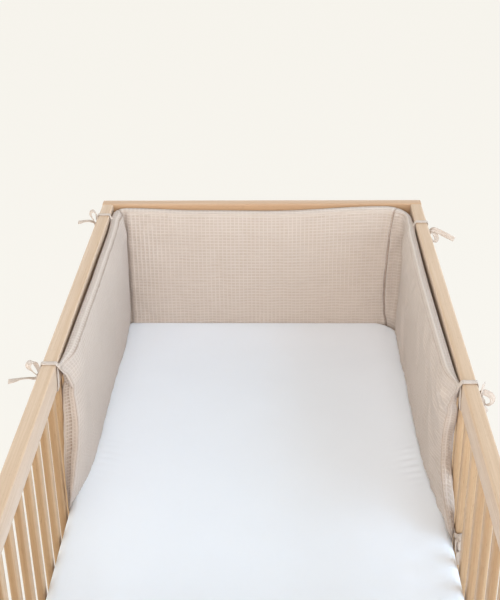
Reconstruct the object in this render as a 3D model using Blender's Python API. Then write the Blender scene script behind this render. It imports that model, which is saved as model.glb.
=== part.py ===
"""A padded crib bumper, tied inside the head half of a wooden crib.

The bumper is one boxed cushion that follows the left side, the head and the right side of the crib. It
stands on edge between the mattress and the bars, and five tape ties hold it to the rails and bars.
Metres, +Z up. The origin is on the floor under the crib's middle, and the head end is at +Y.
"""

import math

import bmesh
import bpy
from mathutils import Matrix, Vector

# ---------------------------------------------------------------- driving dimensions

CRIB_WIDTH = 0.660            # over the side rails
INNER_LENGTH = 1.206          # between the end rails, for a mattress of 60 x 120 cm
RAIL_TOP = 0.800              # height of the top rails over the floor
SIDE_RAIL_WIDTH = 0.023
END_RAIL_WIDTH = 0.0245
RAIL_DEPTH = 0.043
RAIL_ROUND = 0.003            # rounding of the rails' long edges
LOW_RAIL_Z = 0.245            # underside of the lower rails
POST_WIDTH = 0.050            # along X; a post is as thick as the end rail
SLAT_THICK = 0.012
SLAT_WIDTH = 0.022
SLAT_ROUND = 0.0038
SIDE_SLATS = 19
SIDE_PITCH = 0.0605
END_SLATS = 8
END_PITCH = 0.0615
TENON = 0.012                 # length of a bar's end inside its rail
SEAT = 0.0003                 # gap between touching pieces

MATTRESS_TOP = RAIL_TOP - 0.265
MATTRESS_THICK = 0.100
MATTRESS_FREE = 0.3050        # half width where nothing squeezes it
MATTRESS_SQUEEZED = 0.2880    # half width beside the bumper
MATTRESS_HEAD_GAP = 0.0225    # from the end rail's inner face to the mattress
BASE_SLATS = 10
BASE_SLAT_THICK = 0.010
BEARER_SIZE = 0.028

GUSSET = 0.018                # width of the bumper's boxing strip
CROWN_FRONT = 0.0095          # how far the front face swells past its seams
CROWN_BACK = 0.0010
LEAN = 0.0045                 # how far the back sinks towards the bars below the rail
RAIL_CLEARANCE = 0.0025       # from the bumper's back to the rails
BUMPER_BOTTOM = RAIL_TOP - 0.287
LEFT_END_Y = -0.0415          # upper corner of the left free end
RIGHT_END_Y = -0.0945         # upper corner of the right free end
LEFT_CORNER_R = 0.020         # the left seam is right in the corner, so the pad folds there
RIGHT_CORNER_R = 0.044        # the right seam stops short of the corner, so the pad bends there
RIGHT_SEAM_X = 0.2655
SEAM_GROOVE = 0.011           # half width of the channel that an upright seam draws in

TAPE_WIDTH = 0.009
TAPE_THICK = 0.0012

# derived places
HALF_WIDTH = CRIB_WIDTH / 2
HALF_INNER = INNER_LENGTH / 2
HALF_LENGTH = HALF_INNER + END_RAIL_WIDTH
RAIL_INNER_X = HALF_WIDTH - SIDE_RAIL_WIDTH
RAIL_MID_X = HALF_WIDTH - SIDE_RAIL_WIDTH / 2
SPINE_X = RAIL_INNER_X - RAIL_CLEARANCE - GUSSET / 2
SPINE_Y = HALF_INNER - RAIL_CLEARANCE - GUSSET / 2
FIRST_SLAT = (INNER_LENGTH - (SIDE_SLATS - 1) * SIDE_PITCH) / 2

# ---------------------------------------------------------------- short tables

# Share of the bumper's run, and how far its top seam lies under the top of the rails there.
TOP_EDGE = (
    (0.00, 0.0050),
    (0.08, 0.0045),
    (0.20, 0.0075),
    (0.28, 0.0120),
    (0.34, 0.0065),
    (0.42, 0.0115),
    (0.50, 0.0130),
    (0.62, 0.0035),
    (0.66, 0.0080),
    (0.78, 0.0085),
    (0.92, 0.0060),
    (1.00, 0.0060),
)

# Share of the height from the bottom edge, and how far a free end is drawn in from its upper corner there.
LEFT_END = (
    (0.00, -0.008),
    (0.10, -0.014),
    (0.22, -0.023),
    (0.34, -0.018),
    (0.48, 0.000),
    (0.62, 0.014),
    (0.76, 0.024),
    (0.90, 0.018),
    (1.00, 0.000),
)
RIGHT_END = (
    (0.00, -0.018),
    (0.08, -0.020),
    (0.18, -0.012),
    (0.28, 0.020),
    (0.40, 0.042),
    (0.55, 0.043),
    (0.72, 0.035),
    (0.88, 0.026),
    (1.00, 0.000),
)
END_REACH = 0.20              # length of pad over which an end's inset fades out

FRONT_ROWS = (0.0, 0.04, 0.11, 0.22, 0.36, 0.52, 0.68, 0.81, 0.90, 0.96, 1.0)

# Stretches of the bumper's run, and how many columns of the mesh each takes.
STRETCHES = (
    ("left end", 4),
    ("left side", 10),
    ("left corner", 10),
    ("head", 13),
    ("right corner", 12),
    ("right side", 10),
    ("right end", 4),
)
END_STRETCH = 0.045
CORNER_STRETCH = 0.040

# ---------------------------------------------------------------- helpers


def clear_scene():
    for obj in list(bpy.data.objects):
        bpy.data.objects.remove(obj, do_unlink=True)


def make_collection(name):
    collection = bpy.data.collections.new(name)
    bpy.context.scene.collection.children.link(collection)
    return collection


def make_material(name, color, roughness):
    material = bpy.data.materials.new(name)
    material.use_nodes = True
    shader = material.node_tree.nodes["Principled BSDF"]
    shader.inputs["Base Color"].default_value = (*color, 1.0)
    shader.inputs["Roughness"].default_value = roughness
    shader.inputs["Metallic"].default_value = 0.0
    return material


def make_object(name, bm, material, collection):
    bmesh.ops.recalc_face_normals(bm, faces=bm.faces)
    mesh = bpy.data.meshes.new(name)
    bm.to_mesh(mesh)
    bm.free()
    mesh.materials.append(material)
    obj = bpy.data.objects.new(name, mesh)
    collection.objects.link(obj)
    return obj


def make_cutter(name, bm, material, collection):
    obj = make_object(name, bm, material, collection)
    obj.hide_render = True
    obj.display_type = "WIRE"
    return obj


def smooth_shade(obj, angle=40.0):
    obj.data.shade_smooth()
    obj.data.set_sharp_from_angle(angle=math.radians(angle))


def union(obj, other):
    modifier = obj.modifiers.new("Join " + other.name, "BOOLEAN")
    modifier.operation = "UNION"
    modifier.solver = "EXACT"
    modifier.object = other


def ease(t):
    t = min(max(t, 0.0), 1.0)
    return t * t * (3.0 - 2.0 * t)


def read_table(rows, x):
    """Value of a two-column table at x, eased between its rows."""
    if x <= rows[0][0]:
        return rows[0][1]
    for (x0, y0), (x1, y1) in zip(rows, rows[1:]):
        if x <= x1:
            return y0 + (y1 - y0) * ease((x - x0) / (x1 - x0))
    return rows[-1][1]


def add_bar(bm, low, high, rounding=0.0, along=None, segments=2):
    """A box between two corners; rounding bevels its edges that run along an axis (0, 1 or 2)."""
    low, high = Vector(low), Vector(high)
    size = high - low
    matrix = Matrix.Translation((low + high) / 2) @ Matrix.Diagonal((*size, 1.0))
    verts = bmesh.ops.create_cube(bm, size=1.0, matrix=matrix)["verts"]
    if rounding:
        edges = {edge for vert in verts for edge in vert.link_edges}
        if along is not None:
            edges = {e for e in edges if abs((e.verts[0].co - e.verts[1].co)[along]) > 1e-6}
        bmesh.ops.bevel(bm, geom=list(edges), offset=rounding, segments=segments, profile=0.5,
                        affect="EDGES", clamp_overlap=True)


# ---------------------------------------------------------------- crib


def slat_middles(count, pitch):
    return [(i - (count - 1) / 2) * pitch for i in range(count)]


def build_side(name, sign, material, parts, cutters):
    """One side of the crib: top rail, lower rail and the bars between them."""
    inner, outer = sorted((sign * RAIL_INNER_X, sign * HALF_WIDTH))
    reach = HALF_INNER - SEAT
    top = bmesh.new()
    add_bar(top, (inner, -reach, RAIL_TOP - RAIL_DEPTH), (outer, reach, RAIL_TOP), RAIL_ROUND, along=1)
    rail = make_object(name, top, material, parts)

    low = bmesh.new()
    add_bar(low, (inner, -reach, LOW_RAIL_Z), (outer, reach, LOW_RAIL_Z + RAIL_DEPTH), RAIL_ROUND, along=1)
    union(rail, make_cutter(name + "_low_rail", low, material, cutters))

    bars = bmesh.new()
    for y in slat_middles(SIDE_SLATS, SIDE_PITCH):
        x = sign * RAIL_MID_X
        add_bar(bars,
                (x - SLAT_THICK / 2, y - SLAT_WIDTH / 2, LOW_RAIL_Z + RAIL_DEPTH - TENON),
                (x + SLAT_THICK / 2, y + SLAT_WIDTH / 2, RAIL_TOP - RAIL_DEPTH + TENON),
                SLAT_ROUND, along=2)
    union(rail, make_cutter(name + "_bars", bars, material, cutters))
    smooth_shade(rail)


def build_end(name, sign, material, parts, cutters):
    """One end of the crib: a top rail over the posts, a lower rail between them, and bars."""
    inner, outer = sorted((sign * HALF_INNER, sign * HALF_LENGTH))
    top = bmesh.new()
    add_bar(top, (-HALF_WIDTH, inner, RAIL_TOP - RAIL_DEPTH), (HALF_WIDTH, outer, RAIL_TOP),
            RAIL_ROUND, along=0)
    rail = make_object(name, top, material, parts)

    reach = HALF_WIDTH - POST_WIDTH - SEAT
    low = bmesh.new()
    add_bar(low, (-reach, inner, LOW_RAIL_Z), (reach, outer, LOW_RAIL_Z + RAIL_DEPTH), RAIL_ROUND, along=0)
    union(rail, make_cutter(name + "_low_rail", low, material, cutters))

    bars = bmesh.new()
    y = (inner + outer) / 2
    for x in slat_middles(END_SLATS, END_PITCH):
        add_bar(bars,
                (x - SLAT_WIDTH / 2, y - SLAT_THICK / 2, LOW_RAIL_Z + RAIL_DEPTH - TENON),
                (x + SLAT_WIDTH / 2, y + SLAT_THICK / 2, RAIL_TOP - RAIL_DEPTH + TENON),
                SLAT_ROUND, along=2)
    union(rail, make_cutter(name + "_bars", bars, material, cutters))
    smooth_shade(rail)


def build_post(name, side, end, material, parts):
    """A corner post that stands on the floor and carries an end's top rail."""
    x0, x1 = sorted((side * (HALF_WIDTH - POST_WIDTH), side * HALF_WIDTH))
    y0, y1 = sorted((end * HALF_INNER, end * HALF_LENGTH))
    bm = bmesh.new()
    add_bar(bm, (x0, y0, 0.0), (x1, y1, RAIL_TOP - RAIL_DEPTH - SEAT), RAIL_ROUND, along=2)
    smooth_shade(make_object(name, bm, material, parts))


def build_base(material, parts, cutters):
    """Slatted mattress base: cross slats on two bearers that reach from end to end."""
    top = MATTRESS_TOP - MATTRESS_THICK - SEAT
    bearer_x = HALF_WIDTH - POST_WIDTH + BEARER_SIZE / 2
    reach = HALF_INNER - SEAT
    slat_reach = RAIL_INNER_X - 0.004
    bm = bmesh.new()
    bearer_top = top - BASE_SLAT_THICK
    x0, x1 = bearer_x - BEARER_SIZE / 2, bearer_x + BEARER_SIZE / 2 - 0.004
    add_bar(bm, (x0, -reach, bearer_top - BEARER_SIZE), (x1, reach, bearer_top + 0.004))
    base = make_object("mattress_base", bm, material, parts)

    other = bmesh.new()
    add_bar(other, (-x1, -reach, bearer_top - BEARER_SIZE), (-x0, reach, bearer_top + 0.004))
    slats = bmesh.new()
    pitch = (INNER_LENGTH - 0.080) / (BASE_SLATS - 1)
    for y in slat_middles(BASE_SLATS, pitch):
        add_bar(slats, (-slat_reach, y - 0.030, bearer_top), (slat_reach, y + 0.030, top))
    union(base, make_cutter("mattress_base_slats", slats, material, cutters))
    union(base, make_cutter("mattress_base_bearer", other, material, cutters))


def mattress_half_width(y, end_y):
    """Half width at y: squeezed beside the bumper, free past its end."""
    free = ease((end_y + 0.045 - y) / 0.105)
    return MATTRESS_SQUEEZED + (MATTRESS_FREE - MATTRESS_SQUEEZED) * free


def mattress_outline(inset):
    """Plan of the mattress, drawn in by inset all round; anticlockwise from the foot's right corner."""
    head = HALF_INNER - MATTRESS_HEAD_GAP - inset
    foot = -HALF_INNER + 0.0015 + inset
    stations = (-0.57, -0.40, -0.25, -0.15, -0.12, -0.09, -0.06, -0.03, 0.0, 0.04, 0.10, 0.30, 0.48)
    right = [Vector((mattress_half_width(y, RIGHT_END_Y) - inset, y)) for y in stations]
    left = [Vector((-mattress_half_width(y, LEFT_END_Y) + inset, y)) for y in reversed(stations)]
    points = list(right)
    points += corner_arc(MATTRESS_SQUEEZED - inset, head, 0.048 - inset, 0.0, 7)
    points += corner_arc(-MATTRESS_SQUEEZED + inset, head, 0.034 - inset, 90.0, 6)
    points += left
    points += corner_arc(-MATTRESS_FREE + inset, foot, 0.030 - inset * 0.7, 180.0, 4)
    points += corner_arc(MATTRESS_FREE - inset, foot, 0.030 - inset * 0.7, 270.0, 4)
    return points


def corner_arc(x, y, radius, start, count):
    """Points round an outline's corner at (x, y), from start degrees through a quarter turn."""
    quarter = math.radians(start)
    inward = Vector((-math.cos(quarter + math.pi / 4), -math.sin(quarter + math.pi / 4)))
    middle = Vector((x, y)) + inward * radius * math.sqrt(2.0)
    turns = [quarter + math.pi / 2 * i / (count - 1) for i in range(count)]
    return [middle + radius * Vector((math.cos(a), math.sin(a))) for a in turns]


def build_mattress(material, parts):
    """A foam mattress in its fitted sheet, with soft rounded edges."""
    bottom = MATTRESS_TOP - MATTRESS_THICK
    rings = (
        (0.012, bottom),
        (0.003, bottom + 0.005),
        (0.000, bottom + 0.014),
        (0.000, MATTRESS_TOP - 0.018),
        (0.0025, MATTRESS_TOP - 0.009),
        (0.0085, MATTRESS_TOP - 0.0025),
        (0.020, MATTRESS_TOP),
    )
    bm = bmesh.new()
    loops = [[bm.verts.new((*point, z)) for point in mattress_outline(inset)] for inset, z in rings]
    skin_loops(bm, loops)
    bm.faces.new(reversed(loops[0]))
    bm.faces.new(loops[-1])
    smooth_shade(make_object("mattress", bm, material, parts), 60.0)


def skin_loops(bm, loops):
    """Quads between closed loops of the same length."""
    count = len(loops[0])
    for lower, upper in zip(loops, loops[1:]):
        for i in range(count):
            j = (i + 1) % count
            bm.faces.new((lower[i], lower[j], upper[j], upper[i]))


# ---------------------------------------------------------------- bumper


class Run:
    """The bumper's run in plan: up the left side, round the head and down the right side."""

    def __init__(self):
        self.left = SPINE_Y - LEFT_CORNER_R - LEFT_END_Y
        self.left_arc = LEFT_CORNER_R * math.pi / 2
        self.head = 2 * SPINE_X - LEFT_CORNER_R - RIGHT_CORNER_R
        self.right_arc = RIGHT_CORNER_R * math.pi / 2
        self.right = SPINE_Y - RIGHT_CORNER_R - RIGHT_END_Y
        self.length = self.left + self.left_arc + self.head + self.right_arc + self.right
        self.left_seam = self.left + self.left_arc / 2
        arc_start_x = SPINE_X - RIGHT_CORNER_R
        self.right_arc_start = self.left + self.left_arc + self.head
        turn = math.asin((RIGHT_SEAM_X - arc_start_x) / RIGHT_CORNER_R)
        self.right_seam = self.right_arc_start + RIGHT_CORNER_R * turn

    def place(self, s):
        """Point on the run and the unit normal that faces the sleeper."""
        if s <= self.left:
            return Vector((-SPINE_X, LEFT_END_Y + s)), Vector((1.0, 0.0))
        s -= self.left
        if s <= self.left_arc:
            turn = s / LEFT_CORNER_R
            out = Vector((-math.cos(turn), math.sin(turn)))
            middle = Vector((-SPINE_X + LEFT_CORNER_R, SPINE_Y - LEFT_CORNER_R))
            return middle + out * LEFT_CORNER_R, -out
        s -= self.left_arc
        if s <= self.head:
            return Vector((-SPINE_X + LEFT_CORNER_R + s, SPINE_Y)), Vector((0.0, -1.0))
        s -= self.head
        if s <= self.right_arc:
            turn = s / RIGHT_CORNER_R
            out = Vector((math.sin(turn), math.cos(turn)))
            middle = Vector((SPINE_X - RIGHT_CORNER_R, SPINE_Y - RIGHT_CORNER_R))
            return middle + out * RIGHT_CORNER_R, -out
        s -= self.right_arc
        return Vector((SPINE_X, SPINE_Y - RIGHT_CORNER_R - s)), Vector((-1.0, 0.0))

    def columns(self):
        """Places along the run where the mesh has a column, by the table of stretches."""
        marks = {
            "left end": (0.0, END_STRETCH),
            "left side": (END_STRETCH, self.left_seam - CORNER_STRETCH),
            "left corner": (self.left_seam - CORNER_STRETCH, self.left_seam + CORNER_STRETCH),
            "head": (self.left_seam + CORNER_STRETCH, self.right_seam - CORNER_STRETCH / 2),
            "right corner": (self.right_seam - CORNER_STRETCH / 2, self.right_seam + 2 * CORNER_STRETCH),
            "right side": (self.right_seam + 2 * CORNER_STRETCH, self.length - END_STRETCH),
            "right end": (self.length - END_STRETCH, self.length),
        }
        places = [0.0]
        for name, count in STRETCHES:
            start, stop = marks[name]
            places += [start + (stop - start) * (i + 1) / count for i in range(count)]
        return places


def rise(distance, reach):
    """How full the pad is at a distance from a seam that draws it in: 0 on the seam, 1 past reach."""
    share = min(max(distance / reach, 0.0), 1.0)
    return 1.0 - (1.0 - share) ** 2.5


def crown(v):
    """Swell of a face between its bottom seam (v = 0) and top seam (v = 1), fullest below the middle."""
    v = v ** 0.85
    return (1.0 - abs(2.0 * v - 1.0) ** 2.4) ** 0.75


def corner_pinch(distance, v):
    """Share of the boxing strip's width that is left near a free end's corners."""
    reach = 0.032
    height = RAIL_TOP - BUMPER_BOTTOM
    near_top = math.exp(-(distance / reach) ** 2 - ((1.0 - v) * height / reach) ** 2)
    near_bottom = math.exp(-(distance / (reach * 1.4)) ** 2 - (v * height / (reach * 1.5)) ** 2)
    return 1.0 - 0.55 * near_top - 0.62 * near_bottom


def pad_offsets(run, s, v):
    """Distances of the front and the back face from the run's line, towards the sleeper."""
    to_end = min(s, run.length - s)
    to_left_seam = abs(s - run.left_seam)
    to_right_seam = abs(s - run.right_seam)
    full = rise(to_end, 0.070) * rise(to_left_seam, 0.034) * rise(to_right_seam, 0.034)
    groove = min(ease(to_left_seam / SEAM_GROOVE), ease(to_right_seam / SEAM_GROOVE))
    width = GUSSET * corner_pinch(to_end, v) * (0.42 + 0.58 * groove)
    height = top_height(run, s) - BUMPER_BOTTOM
    below_rail = RAIL_DEPTH - (1.0 - v) * height
    past_post = (s - run.left_seam - 0.020) / 0.050 if s > run.left_seam else to_left_seam / 0.020
    lean = LEAN * ease(-below_rail / 0.030) * ease(past_post)
    back = -GUSSET / 2 - lean
    front = back + width + CROWN_FRONT * crown(v) * full
    return front, back - CROWN_BACK * ease(-below_rail / 0.030) * crown(v) * full


def top_height(run, s):
    return RAIL_TOP - read_table(TOP_EDGE, s / run.length)


def pad_place(run, s, v):
    """The run's length at column s and height v, after the free ends are drawn in."""
    near_left = max(0.0, 1.0 - s / END_REACH) ** 2
    near_right = max(0.0, 1.0 - (run.length - s) / END_REACH) ** 2
    return s + read_table(LEFT_END, v) * near_left - read_table(RIGHT_END, v) * near_right


def pad_point(run, s, v, offset, lift=0.0, outward=0.0):
    """A point of the pad. Past either free end the run is carried on in a straight line."""
    at = pad_place(run, s, v)
    past = min(at, 0.0) + max(at - run.length, 0.0)
    spot, normal = run.place(min(max(at, 0.0), run.length))
    spot = spot + normal * offset
    spot.y += past + outward if s < run.length / 2 else -past - outward
    z = BUMPER_BOTTOM + (top_height(run, s) - BUMPER_BOTTOM) * v + lift
    return Vector((spot.x, spot.y, z))


def build_bumper(run, material, parts):
    """The whole cushion: front and back faces, the boxing strip round them, and its seams."""
    bm = bmesh.new()
    strip_swell = 0.0022
    columns = run.columns()
    rows = FRONT_ROWS
    fronts, backs, tops, bottoms = [], [], [], []
    for s in columns:
        offsets = [pad_offsets(run, s, v) for v in rows]
        lift = [-0.003 * ease((v - 0.9) / 0.1) for v in rows]
        fronts.append([bm.verts.new(pad_point(run, s, v, f, l)) for v, (f, b), l in zip(rows, offsets, lift)])
        backs.append([bm.verts.new(pad_point(run, s, v, b)) for v, (f, b) in zip(rows, offsets)])
        (f0, b0), (f1, b1) = offsets[0], offsets[-1]
        tops.append(bm.verts.new(pad_point(run, s, 1.0, (f1 + b1) / 2, strip_swell * 0.4)))
        bottoms.append(bm.verts.new(pad_point(run, s, 0.0, (f0 + b0) / 2, -strip_swell)))

    loops = [f + [t] + list(reversed(b)) + [u] for f, t, b, u in zip(fronts, tops, backs, bottoms)]
    skin_loops(bm, loops)
    for index, outward in ((0, -strip_swell), (-1, strip_swell)):
        s = columns[index]
        middle = [bottoms[index]]
        for v in rows[1:-1]:
            front, back = pad_offsets(run, s, v)
            away = outward if index == 0 else -outward
            middle.append(bm.verts.new(pad_point(run, s, v, (front + back) / 2, 0.0, away)))
        middle.append(tops[index])
        for side in (fronts[index], backs[index]):
            for i in range(len(rows) - 1):
                bm.faces.new((side[i], side[i + 1], middle[i + 1], middle[i]))
    smooth_shade(make_object("bumper", bm, material, parts), 50.0)


# ---------------------------------------------------------------- ties

# Every route below is a list of points chosen by hand. On the top rails they are measured from the rail's
# middle at its top: outward, towards the head, and up. Each row ends with the flat side's direction, the way
# the tape's width points, in the same three directions.
ACROSS = (0.0, 1.0, 0.0)


def over_strand(top_seam):
    """From the bumper's top seam over the rail to the knot on the rail's outer face."""
    half = SIDE_RAIL_WIDTH / 2
    return (
        (-0.0200, 0.0, top_seam + 0.0022, ACROSS),
        (-0.0155, 0.0, top_seam + 0.0030, ACROSS),
        (-half - 0.0004, 0.0, 0.0000, ACROSS),
        (-half + 0.0020, 0.0, 0.0013, ACROSS),
        (0.0000, 0.0, 0.0012, ACROSS),
        (half - 0.0020, 0.0, 0.0013, ACROSS),
        (half + 0.0006, 0.0, 0.0000, ACROSS),
        (half + 0.0014, 0.0, -0.0060, ACROSS),
        (half + 0.0018, 0.0, -0.0140, ACROSS),
        (half + 0.0045, 0.0, -0.0210, ACROSS),
    )


def under_strand(drift):
    """From the inner side of the strap down the rail, under it and up to the knot."""
    half = SIDE_RAIL_WIDTH / 2
    depth = -RAIL_DEPTH
    return (
        (-half - 0.0004, 0.0006, 0.0002, (0.0, 1.0, 0.05)),
        (-half - 0.0011, 0.0006 + drift * 0.2, -0.0100, ACROSS),
        (-half - 0.0012, drift * 0.8, -0.0300, ACROSS),
        (-half - 0.0008, drift, depth + 0.0015, ACROSS),
        (-half + 0.0012, drift, depth - 0.0012, ACROSS),
        (0.0, drift, depth - 0.0018, ACROSS),
        (half - 0.0012, drift, depth - 0.0012, ACROSS),
        (half + 0.0010, drift, depth + 0.0015, ACROSS),
        (half + 0.0016, drift * 0.6, -0.0330, ACROSS),
        (half + 0.0045, drift * 0.1, -0.0245, ACROSS),
    )


LEFT_NEAR_LOOP = (
    (0.0185, -0.0010, -0.0220, (0.3, 0.95, 0.0)),
    (0.0240, -0.0050, -0.0120, (0.5, 0.85, 0.1)),
    (0.0300, -0.0080, -0.0020, (0.7, 0.70, 0.0)),
    (0.0330, -0.0060, 0.0045, (0.8, 0.60, 0.0)),
    (0.0300, 0.0010, 0.0070, (0.8, 0.60, 0.0)),
    (0.0250, 0.0060, 0.0050, (0.9, 0.45, 0.0)),
    (0.0210, 0.0070, -0.0050, (0.9, 0.35, 0.0)),
    (0.0175, 0.0050, -0.0140, (0.6, 0.80, 0.0)),
    (0.0150, 0.0010, -0.0205, (0.3, 0.95, 0.0)),
)
LEFT_NEAR_END = (
    (0.0165, 0.0000, -0.0235, ACROSS),
    (0.0240, -0.0010, -0.0215, ACROSS),
    (0.0350, -0.0020, -0.0220, ACROSS),
    (0.0450, -0.0030, -0.0245, (0.0, 0.95, 0.2)),
    (0.0550, -0.0040, -0.0270, (0.0, 0.80, 0.5)),
    (0.0650, -0.0050, -0.0275, (0.0, 0.60, 0.8)),
)
LEFT_FAR_LOOP = (
    (0.0148, 0.0000, -0.0200, ACROSS),
    (0.0155, 0.0010, -0.0110, ACROSS),
    (0.0155, 0.0020, -0.0010, ACROSS),
    (0.0175, 0.0020, 0.0075, ACROSS),
    (0.0225, 0.0010, 0.0110, ACROSS),
    (0.0270, 0.0000, 0.0075, (0.1, 1.0, 0.1)),
    (0.0270, -0.0010, 0.0010, (0.3, 0.9, 0.3)),
    (0.0230, -0.0015, -0.0080, (0.5, 0.8, 0.3)),
    (0.0205, -0.0010, -0.0150, (0.3, 0.9, 0.1)),
    (0.0185, 0.0000, -0.0220, ACROSS),
)
LEFT_FAR_END = (
    (0.0165, 0.0000, -0.0230, ACROSS),
    (0.0220, -0.0020, -0.0150, ACROSS),
    (0.0310, -0.0030, -0.0110, ACROSS),
    (0.0400, -0.0030, -0.0110, ACROSS),
    (0.0470, -0.0030, -0.0125, ACROSS),
    (0.0530, -0.0030, -0.0135, (0.0, 0.9, 0.4)),
)
RIGHT_FAR_LOOP = (
    (0.0170, 0.0000, -0.0195, ACROSS),
    (0.0225, -0.0030, -0.0215, (0.2, 0.9, 0.3)),
    (0.0280, -0.0050, -0.0280, (0.5, 0.7, 0.4)),
    (0.0320, -0.0050, -0.0360, (0.5, 0.7, 0.3)),
    (0.0290, -0.0040, -0.0420, (0.5, 0.8, 0.0)),
    (0.0230, -0.0020, -0.0400, (0.4, 0.9, 0.0)),
    (0.0185, -0.0010, -0.0330, (0.3, 0.9, 0.0)),
    (0.0155, 0.0000, -0.0255, ACROSS),
)
RIGHT_FAR_END = (
    (0.0165, 0.0000, -0.0215, ACROSS),
    (0.0200, -0.0015, -0.0160, (0.1, 0.9, 0.4)),
    (0.0270, -0.0030, -0.0150, (0.3, 0.4, 0.8)),
    (0.0370, -0.0040, -0.0195, (0.4, 0.2, 0.9)),
    (0.0480, -0.0050, -0.0250, (0.4, 0.2, 0.9)),
    (0.0580, -0.0060, -0.0300, (0.4, 0.2, 0.9)),
    (0.0660, -0.0070, -0.0340, (0.4, 0.2, 0.9)),
)
RIGHT_NEAR_LOOP = (
    (0.0160, 0.0000, -0.0195, ACROSS),
    (0.0200, -0.0020, -0.0125, (0.3, 0.9, 0.2)),
    (0.0270, -0.0040, -0.0095, (0.1, 0.8, 0.6)),
    (0.0350, -0.0040, -0.0140, (0.5, 0.8, 0.4)),
    (0.0400, -0.0030, -0.0230, (0.7, 0.7, 0.1)),
    (0.0390, -0.0020, -0.0330, (0.6, 0.8, -0.3)),
    (0.0320, -0.0010, -0.0400, (0.3, 0.9, -0.4)),
    (0.0240, 0.0000, -0.0390, (0.0, 1.0, 0.0)),
    (0.0190, 0.0000, -0.0320, ACROSS),
    (0.0160, 0.0000, -0.0255, ACROSS),
)
RIGHT_NEAR_END = (
    (0.0165, 0.0000, -0.0230, (0.4, 0.9, 0.0)),
    (0.0180, -0.0040, -0.0130, (0.8, 0.5, 0.0)),
    (0.0190, -0.0060, -0.0040, (0.95, 0.2, 0.0)),
    (0.0205, -0.0070, 0.0040, (0.95, 0.2, 0.2)),
)
RIGHT_NEAR_DROP = (
    (0.0165, 0.0000, -0.0235, ACROSS),
    (0.0190, -0.0030, -0.0340, (0.4, 0.9, 0.0)),
    (0.0225, -0.0040, -0.0440, (0.6, 0.8, 0.0)),
    (0.0240, -0.0040, -0.0520, (0.6, 0.8, 0.0)),
)

# The ties on the top rails: name, side, place along the rail, drift of the strand under the rail, height of
# the bumper's top seam against the rail's top, and the tapes past the knot.
TOP_TIES = (
    ("tie_left_far", -1, 0.5475, 0.0170, -0.0085, (LEFT_FAR_LOOP, LEFT_FAR_END)),
    ("tie_left_near", -1, -0.0440, 0.0130, -0.0050, (LEFT_NEAR_LOOP, LEFT_NEAR_END)),
    ("tie_right_far", 1, 0.5075, 0.0065, -0.0065, (RIGHT_FAR_LOOP, RIGHT_FAR_END)),
    ("tie_right_near", 1, -0.0970, 0.0050, -0.0060, (RIGHT_NEAR_LOOP, RIGHT_NEAR_END, RIGHT_NEAR_DROP)),
)

# The lower tie goes round one bar. Its points are measured from the bar's middle: outward, towards the
# head, and up from the height of the tie.
UPRIGHT = (0.0, 0.0, 1.0)
BAR_ROUTE = (
    (-0.0070, -0.0040, 0.0000, UPRIGHT),
    (-0.0070, 0.0080, 0.0000, UPRIGHT),
    (-0.0050, 0.0120, 0.0000, UPRIGHT),
    (0.0050, 0.0120, 0.0000, UPRIGHT),
    (0.0070, 0.0090, 0.0000, UPRIGHT),
    (0.0070, 0.0000, 0.0000, UPRIGHT),
)
RIGHT_LOW_STRAND = BAR_ROUTE + (
    (0.0070, -0.0090, 0.0000, UPRIGHT),
    (0.0040, -0.0125, 0.0000, UPRIGHT),
    (0.0000, -0.0145, 0.0000, UPRIGHT),
)
RIGHT_LOW_KNOT = (-0.0005, -0.0168, 0.0000)
RIGHT_LOW_ROOT = (
    (-0.0074, -0.0030, 0.0004, UPRIGHT),
    (-0.0074, -0.0105, 0.0004, UPRIGHT),
    (-0.0055, -0.0138, 0.0004, UPRIGHT),
    (-0.0015, -0.0155, 0.0, UPRIGHT),
)
RIGHT_LOW_LOOP = (
    (-0.0020, -0.0160, 0.0010, (1.0, 0.0, 0.2)),
    (-0.0030, -0.0180, 0.0090, (0.8, 0.0, 0.6)),
    (-0.0035, -0.0215, 0.0160, (0.8, 0.0, 0.6)),
    (-0.0010, -0.0260, 0.0150, (0.9, 0.0, 0.4)),
    (0.0005, -0.0255, 0.0060, (0.9, 0.0, 0.3)),
    (0.0010, -0.0185, -0.0010, (1.0, 0.0, 0.2)),
)
RIGHT_LOW_END = (
    (-0.0005, -0.0165, -0.0010, (0.9, 0.0, 0.3)),
    (-0.0010, -0.0215, -0.0080, (0.9, 0.3, 0.0)),
    (-0.0005, -0.0255, -0.0170, (0.9, 0.3, 0.0)),
    (0.0005, -0.0275, -0.0270, (0.9, 0.3, 0.0)),
)
RIGHT_LOW_TAPES = (RIGHT_LOW_STRAND, RIGHT_LOW_ROOT, RIGHT_LOW_LOOP, RIGHT_LOW_END)

# The lower tie: name, side, bar counted from the head, height under the rail's top, knot and tapes.
LOW_TIES = (
    ("tie_right_low", 1, 11, 0.2575, RIGHT_LOW_KNOT, RIGHT_LOW_TAPES),
)
KNOT_SIZE = (0.0085, 0.0105, 0.0100)
TOP_KNOT = (SIDE_RAIL_WIDTH / 2 + 0.0048, 0.0, -0.0225)


def smooth_route(points, count):
    """Points on a Catmull-Rom curve through the given ones, evenly shared between them."""
    ends = [points[0] * 2 - points[1]] + list(points) + [points[-1] * 2 - points[-2]]
    spans = len(points) - 1
    route = []
    for i in range(count):
        x = min(i * spans / (count - 1), spans - 1e-9)
        k = int(x)
        t = x - k
        a, b, c, d = ends[k:k + 4]
        route.append(0.5 * (2 * b + (c - a) * t + (2 * a - 5 * b + 4 * c - d) * t * t
                            + (3 * b - a - 3 * c + d) * t ** 3))
    return route


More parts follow.
